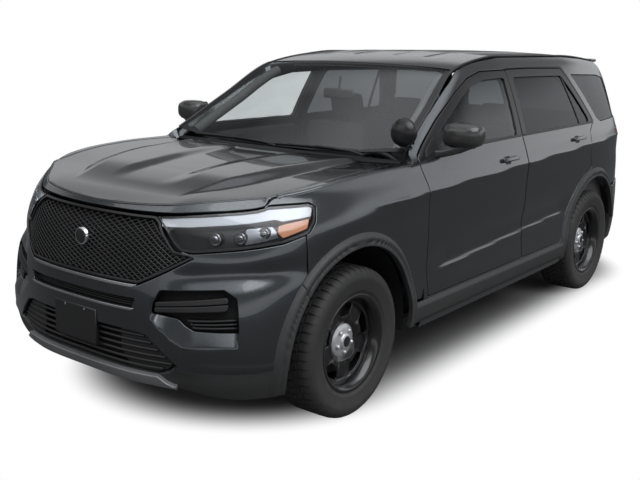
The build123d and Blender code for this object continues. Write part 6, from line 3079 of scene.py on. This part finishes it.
    def seats(self) -> None:
        """Front seats and the rear bench."""
        for name, sign in SIDES:
            y = 370 * sign
            first = ["front_seats"] if sign > 0 else []
            self.cushion("seat_base_" + name, (210, y, 585), (500, 500, 120), -4, 0.62, first)
            self.cushion("seat_back_" + name, (-52, y, 955), (640, 480, 118), -78, 0.60)
            self.cushion("head_rest_" + name, (-122, y, 1372), (170, 250, 84), -78, 0.95)
            post = joined([tube([(-100, y + a, 1240), (-118, y + a, 1330)], 6.0, 8) for a in (-60, 60)])
            frame = joined([block(-10, 400, y - 190, y + 190, 335, 530, 10.0), post])
            self.shop.piece("seat_frame_" + name, frame, [SATIN_BLACK], "body", Slot.PLASTIC)
        self.cushion("bench_base", (-650, 0, 575), (490, 1230, 125), -3, 0.45, ["rear_bench"])
        self.cushion("bench_back", (-872, 0, 945), (600, 1230, 112), -80, 0.45)
        for name, sign in SIDES:
            self.cushion("bench_rest_" + name, (-958, 380 * sign, 1308), (160, 236, 70), -80, 0.95)
        base = block(-890, -470, -590, 590, 335, 510, 12.0)
        self.shop.piece("bench_frame", base, [SATIN_BLACK], "body", Slot.PLASTIC)

    def linings(self) -> None:
        """Roof liner, inner pillars and load floor."""
        liner_line = [(290, -560), (300, 0), (290, 560), (-1900, 520), (-1900, -520)]
        liner = panel(Raised(self.skin.screen, -34.0), liner_line, thick=6.0, step=40.0, fold=2.0,
                      radius=60.0)
        self.shop.piece("roof_liner", liner, [LINER], "body", Slot.CLOTH)
        inner = []
        side = self.skin.side
        quarter = panel(Raised(side, -62.0), [(-1250, 1235), (-1250, 640), (-1900, 640), (-2170, 800),
                                              (-2150, 1235)],
                        thick=10.0, step=40.0, fold=3.0, radius=30.0)
        for sign in (1, -1):
            inner.append(quarter.on(sign))
        self.shop.piece("inner_quarters", joined(inner), [TRIM], "body", Slot.PLASTIC)
        carpet = block(-2200, -1020, -500, 500, 621, 632, 2.0)
        front = block(-1030, 780, -690, 690, 331, 336, 1.5)
        self.shop.piece("carpet", joined([carpet, front]), [CARPET], "body", Slot.CLOTH)


class Under:
    """CAD pieces below the body that stay as they are, with their finishes."""

    FINISHES = {"floor_pan": UNDER, "front_frame": UNDER, "front_axle": CAST, "rear_axle": CAST,
                "exhaust": STEEL, "engine_block": CAST, "knuckle_left": CAST, "knuckle_right": CAST}
    SLOTS = {"floor_pan": Slot.UNDER, "front_frame": Slot.UNDER, "exhaust": Slot.UNDER}

    def __init__(self, shop: Workshop, nodes: dict[str, bpy.types.Object]) -> None:
        """Keep what it works on.

        Args:
            shop: Where the materials are made.
            nodes: CAD nodes by name.
        """
        self.shop = shop
        self.nodes = nodes

    def build(self) -> None:
        """Give each node its finish."""
        for name, finish in self.FINISHES.items():
            obj = self.nodes[name]
            obj.data.materials.clear()
            obj.data.materials.append(self.shop.material(finish))
        # Arch liners: real parts, given the near-black painted shade finish, darker than black plastic, for
        # the shade inside the arches.
        liners = []
        for cx in (FRONT_AXLE, REAR_AXLE):
            arc = arch(cx, 492, 188, -8, 34)
            outer = arch(cx, 497, -8, 188, 34)
            inner_y = 560.0 if cx == FRONT_AXLE else 590.0
            for sign in (1, -1):
                a, b = sorted((sign * inner_y, sign * 925.0))
                liners.append(prism(arc + outer, a, b))
        self.shop.piece("arch_liners", joined(liners), [PAINTED_SHADE_BLACK], "body", Slot.UNDER)


class Studio:
    """Floor, light and camera."""

    CAMERA = (4.95390611, 3.28849590, 1.83975470)
    YAW = 37.35139244
    PITCH = 13.04806698
    ROLL = 1.19142707
    FOCAL_PX = 879.9786
    REACH = 60.0
    BANDS = ((0.49, 0.06), (0.52, 0.14), (0.55, 0.55), (0.60, 0.62), (0.645, 0.62), (0.69, 0.15),
             (0.80, 0.12), (0.87, 0.80))

    def build(self) -> None:
        """Set the scene."""
        self.floor()
        self.sky()
        self.lights()
        self.camera()

    def floor(self) -> None:
        """Wide floor, white away from the car; near the car a dark floor that takes the real shadow, with a
        painted shadow round it.
        """
        data = bpy.data.meshes.new("floor")
        corners = ((-1, -1), (1, -1), (1, 1), (-1, 1))
        data.from_pydata([(self.REACH * x, self.REACH * y, 0) for x, y in corners], [], [(0, 1, 2, 3)])
        mat = bpy.data.materials.new("floor")
        mat.use_nodes = True
        net = Nodes(mat.node_tree)
        noise = net.add("ShaderNodeTexNoise", {"Scale": 2.0})
        # Dark lit floor near the car (base 0.22): it takes the real shadow, and its darkness against the
        # white beyond is painted shadow.
        pale = mat.node_tree.nodes["Principled BSDF"]
        rough = net.ramp(noise.outputs["Fac"], (0.0, 1.0), (0.86, 0.94))
        net.feed(pale, {"Base Color": (0.22, 0.22, 0.22, 1.0), "Roughness": rough,
                        "Specular IOR Level": 0.0})
        white = net.add("ShaderNodeEmission")
        dark = net.add("ShaderNodeBsdfDiffuse", {"Color": (0.10, 0.10, 0.10, 1.0)})
        # Painted shadow: a mask by distance from a capsule round the car's footprint, dark near the car and
        # white from 1.09 m out, with a fall-off shaped to the shadow's tones.
        place = net.add("ShaderNodeTexCoord")
        part = net.add("ShaderNodeSeparateXYZ", {0: place.outputs["Object"]})
        along = part.outputs["X"]
        for kind, value in (("ADD", 0.255), ("ABSOLUTE", 0.0), ("SUBTRACT", 1.545), ("MAXIMUM", 0.0)):
            along = net.math(kind, along, value)
        beside = net.add("ShaderNodeCombineXYZ", {"X": along, "Y": part.outputs["Y"]})
        length = net.add("ShaderNodeVectorMath", {0: beside.outputs[0]}, operation="LENGTH")
        far = net.ramp(length.outputs["Value"], (0.64, 1.09), kind="SMOOTHSTEP")
        seen = net.blend(net.math("POWER", far, 2.3), pale, white)
        path = net.add("ShaderNodeLightPath")
        mixed = net.blend(path.outputs["Is Camera Ray"], dark, seen)
        net.feed(mat.node_tree.nodes["Material Output"], {"Surface": mixed.outputs[0]})
        data.materials.append(mat)
        linked("floor", data)

    def sky(self) -> None:
        """White room for the camera, banded studio sky for the reflections."""
        world = bpy.data.worlds.new("studio")
        bpy.context.scene.world = world
        world.use_nodes = True
        world.node_tree.nodes.clear()
        net = Nodes(world.node_tree)
        place = net.add("ShaderNodeTexCoord")
        part = net.add("ShaderNodeSeparateXYZ", {0: place.outputs["Generated"]})
        lean = net.math("MULTIPLY_ADD", net.math("MAXIMUM", part.outputs["X"], 0.0), 0.12, part.outputs["Z"])
        side = net.math("MULTIPLY_ADD", part.outputs["Y"], 0.10, lean)
        bands = net.add("ShaderNodeValToRGB", {"Fac": net.ramp(side, (-1.0, 1.0))})
        elements = bands.color_ramp.elements
        elements[0].position, elements[1].position = 0.0, 1.0
        elements[0].color = (0.05, 0.05, 0.05, 1)
        elements[1].color = (0.92, 0.95, 1.0, 1)
        for height, shade in self.BANDS:
            elements.new(height).color = (shade, shade * 1.01, shade * 1.03, 1)
        gain = net.ramp(part.outputs["Y"], (-0.25, 0.55), (0.92, 1.75), "SMOOTHSTEP")
        lit = net.add("ShaderNodeBackground", {"Color": bands.outputs["Color"], "Strength": gain})
        seen = net.add("ShaderNodeBackground", {"Color": (1, 1, 1, 1), "Strength": 1.0})
        path = net.add("ShaderNodeLightPath")
        mix = net.blend(path.outputs["Is Camera Ray"], lit, seen)
        net.add("ShaderNodeOutputWorld", {"Surface": mix.outputs[0]})

    def lights(self) -> None:
        """Large panels of light."""
        for name, place, target, size, power in (
            ("key", (2.0, 6.0, 9.0), (0, 0, 0.8), (12.0, 8.0), 620.0),
            ("fill", (10.0, -3.5, 6.5), (1.2, 0, 0.7), (9.0, 5.0), 160.0),
        ):
            data = bpy.data.lights.new(name, "AREA")
            data.shape = "RECTANGLE"
            data.size, data.size_y = size
            data.energy = power
            obj = linked(name, data)
            obj.location = place
            obj.rotation_euler = (Vector(target) - Vector(place)).to_track_quat("-Z", "Y").to_euler()

    def camera(self) -> None:
        """Camera of the photo."""
        yaw, pitch, roll = (math.radians(a) for a in (self.YAW, self.PITCH, self.ROLL))
        f = Vector((-math.cos(pitch) * math.cos(yaw), -math.cos(pitch) * math.sin(yaw), -math.sin(pitch)))
        r = f.cross(Vector((0, 0, 1))).normalized()
        u = r.cross(f)
        right = math.cos(roll) * r + math.sin(roll) * u
        up = -math.sin(roll) * r + math.cos(roll) * u
        data = bpy.data.cameras.new("camera")
        data.sensor_width = 36.0
        data.lens = self.FOCAL_PX / 640.0 * 36.0
        data.clip_end = 200.0
        obj = linked("camera", data)
        m = Matrix((right, up, -f)).transposed().to_4x4()
        m.translation = Vector(self.CAMERA)
        obj.matrix_world = m
        bpy.context.scene.camera = obj


def main() -> None:
    """Build the car piece by piece and set the studio."""
    logging.basicConfig(level=logging.INFO, format="%(message)s")
    bpy.context.scene.view_settings.view_transform = "Standard"
    shop = Workshop()
    skin = Skin()
    LOG.info("surfaces ready")
    steps: list[tuple[str, Callable[[], None]]] = [
        ("body sides", BodySides(shop, skin).build),
        ("front doors", Door(shop, skin, True).build),
        ("rear doors", Door(shop, skin, False).build),
        ("hood", Hood(shop, skin).build),
        ("roof", RoofTop(shop, skin).build),
        ("liftgate", Gate(shop, skin).build),
        ("lamps", Lamps(shop, skin).build),
        ("nose", Nose(shop, skin).build),
        ("tail", Tail(shop, skin).build),
        ("fittings", Fittings(shop, skin).build),
        ("cabin", Cabin(shop, skin).build),
        ("under", Under(shop, frame["nodes"]).build),
        ("studio", Studio().build),
    ]
    steps += [(f"wheel {c}", Wheel(shop, c, x, sign).build) for c, x, sign in CORNERS]
    for name, build in steps:
        build()
        LOG.info("built %s", name)


if __name__ == "__main__":
    main()
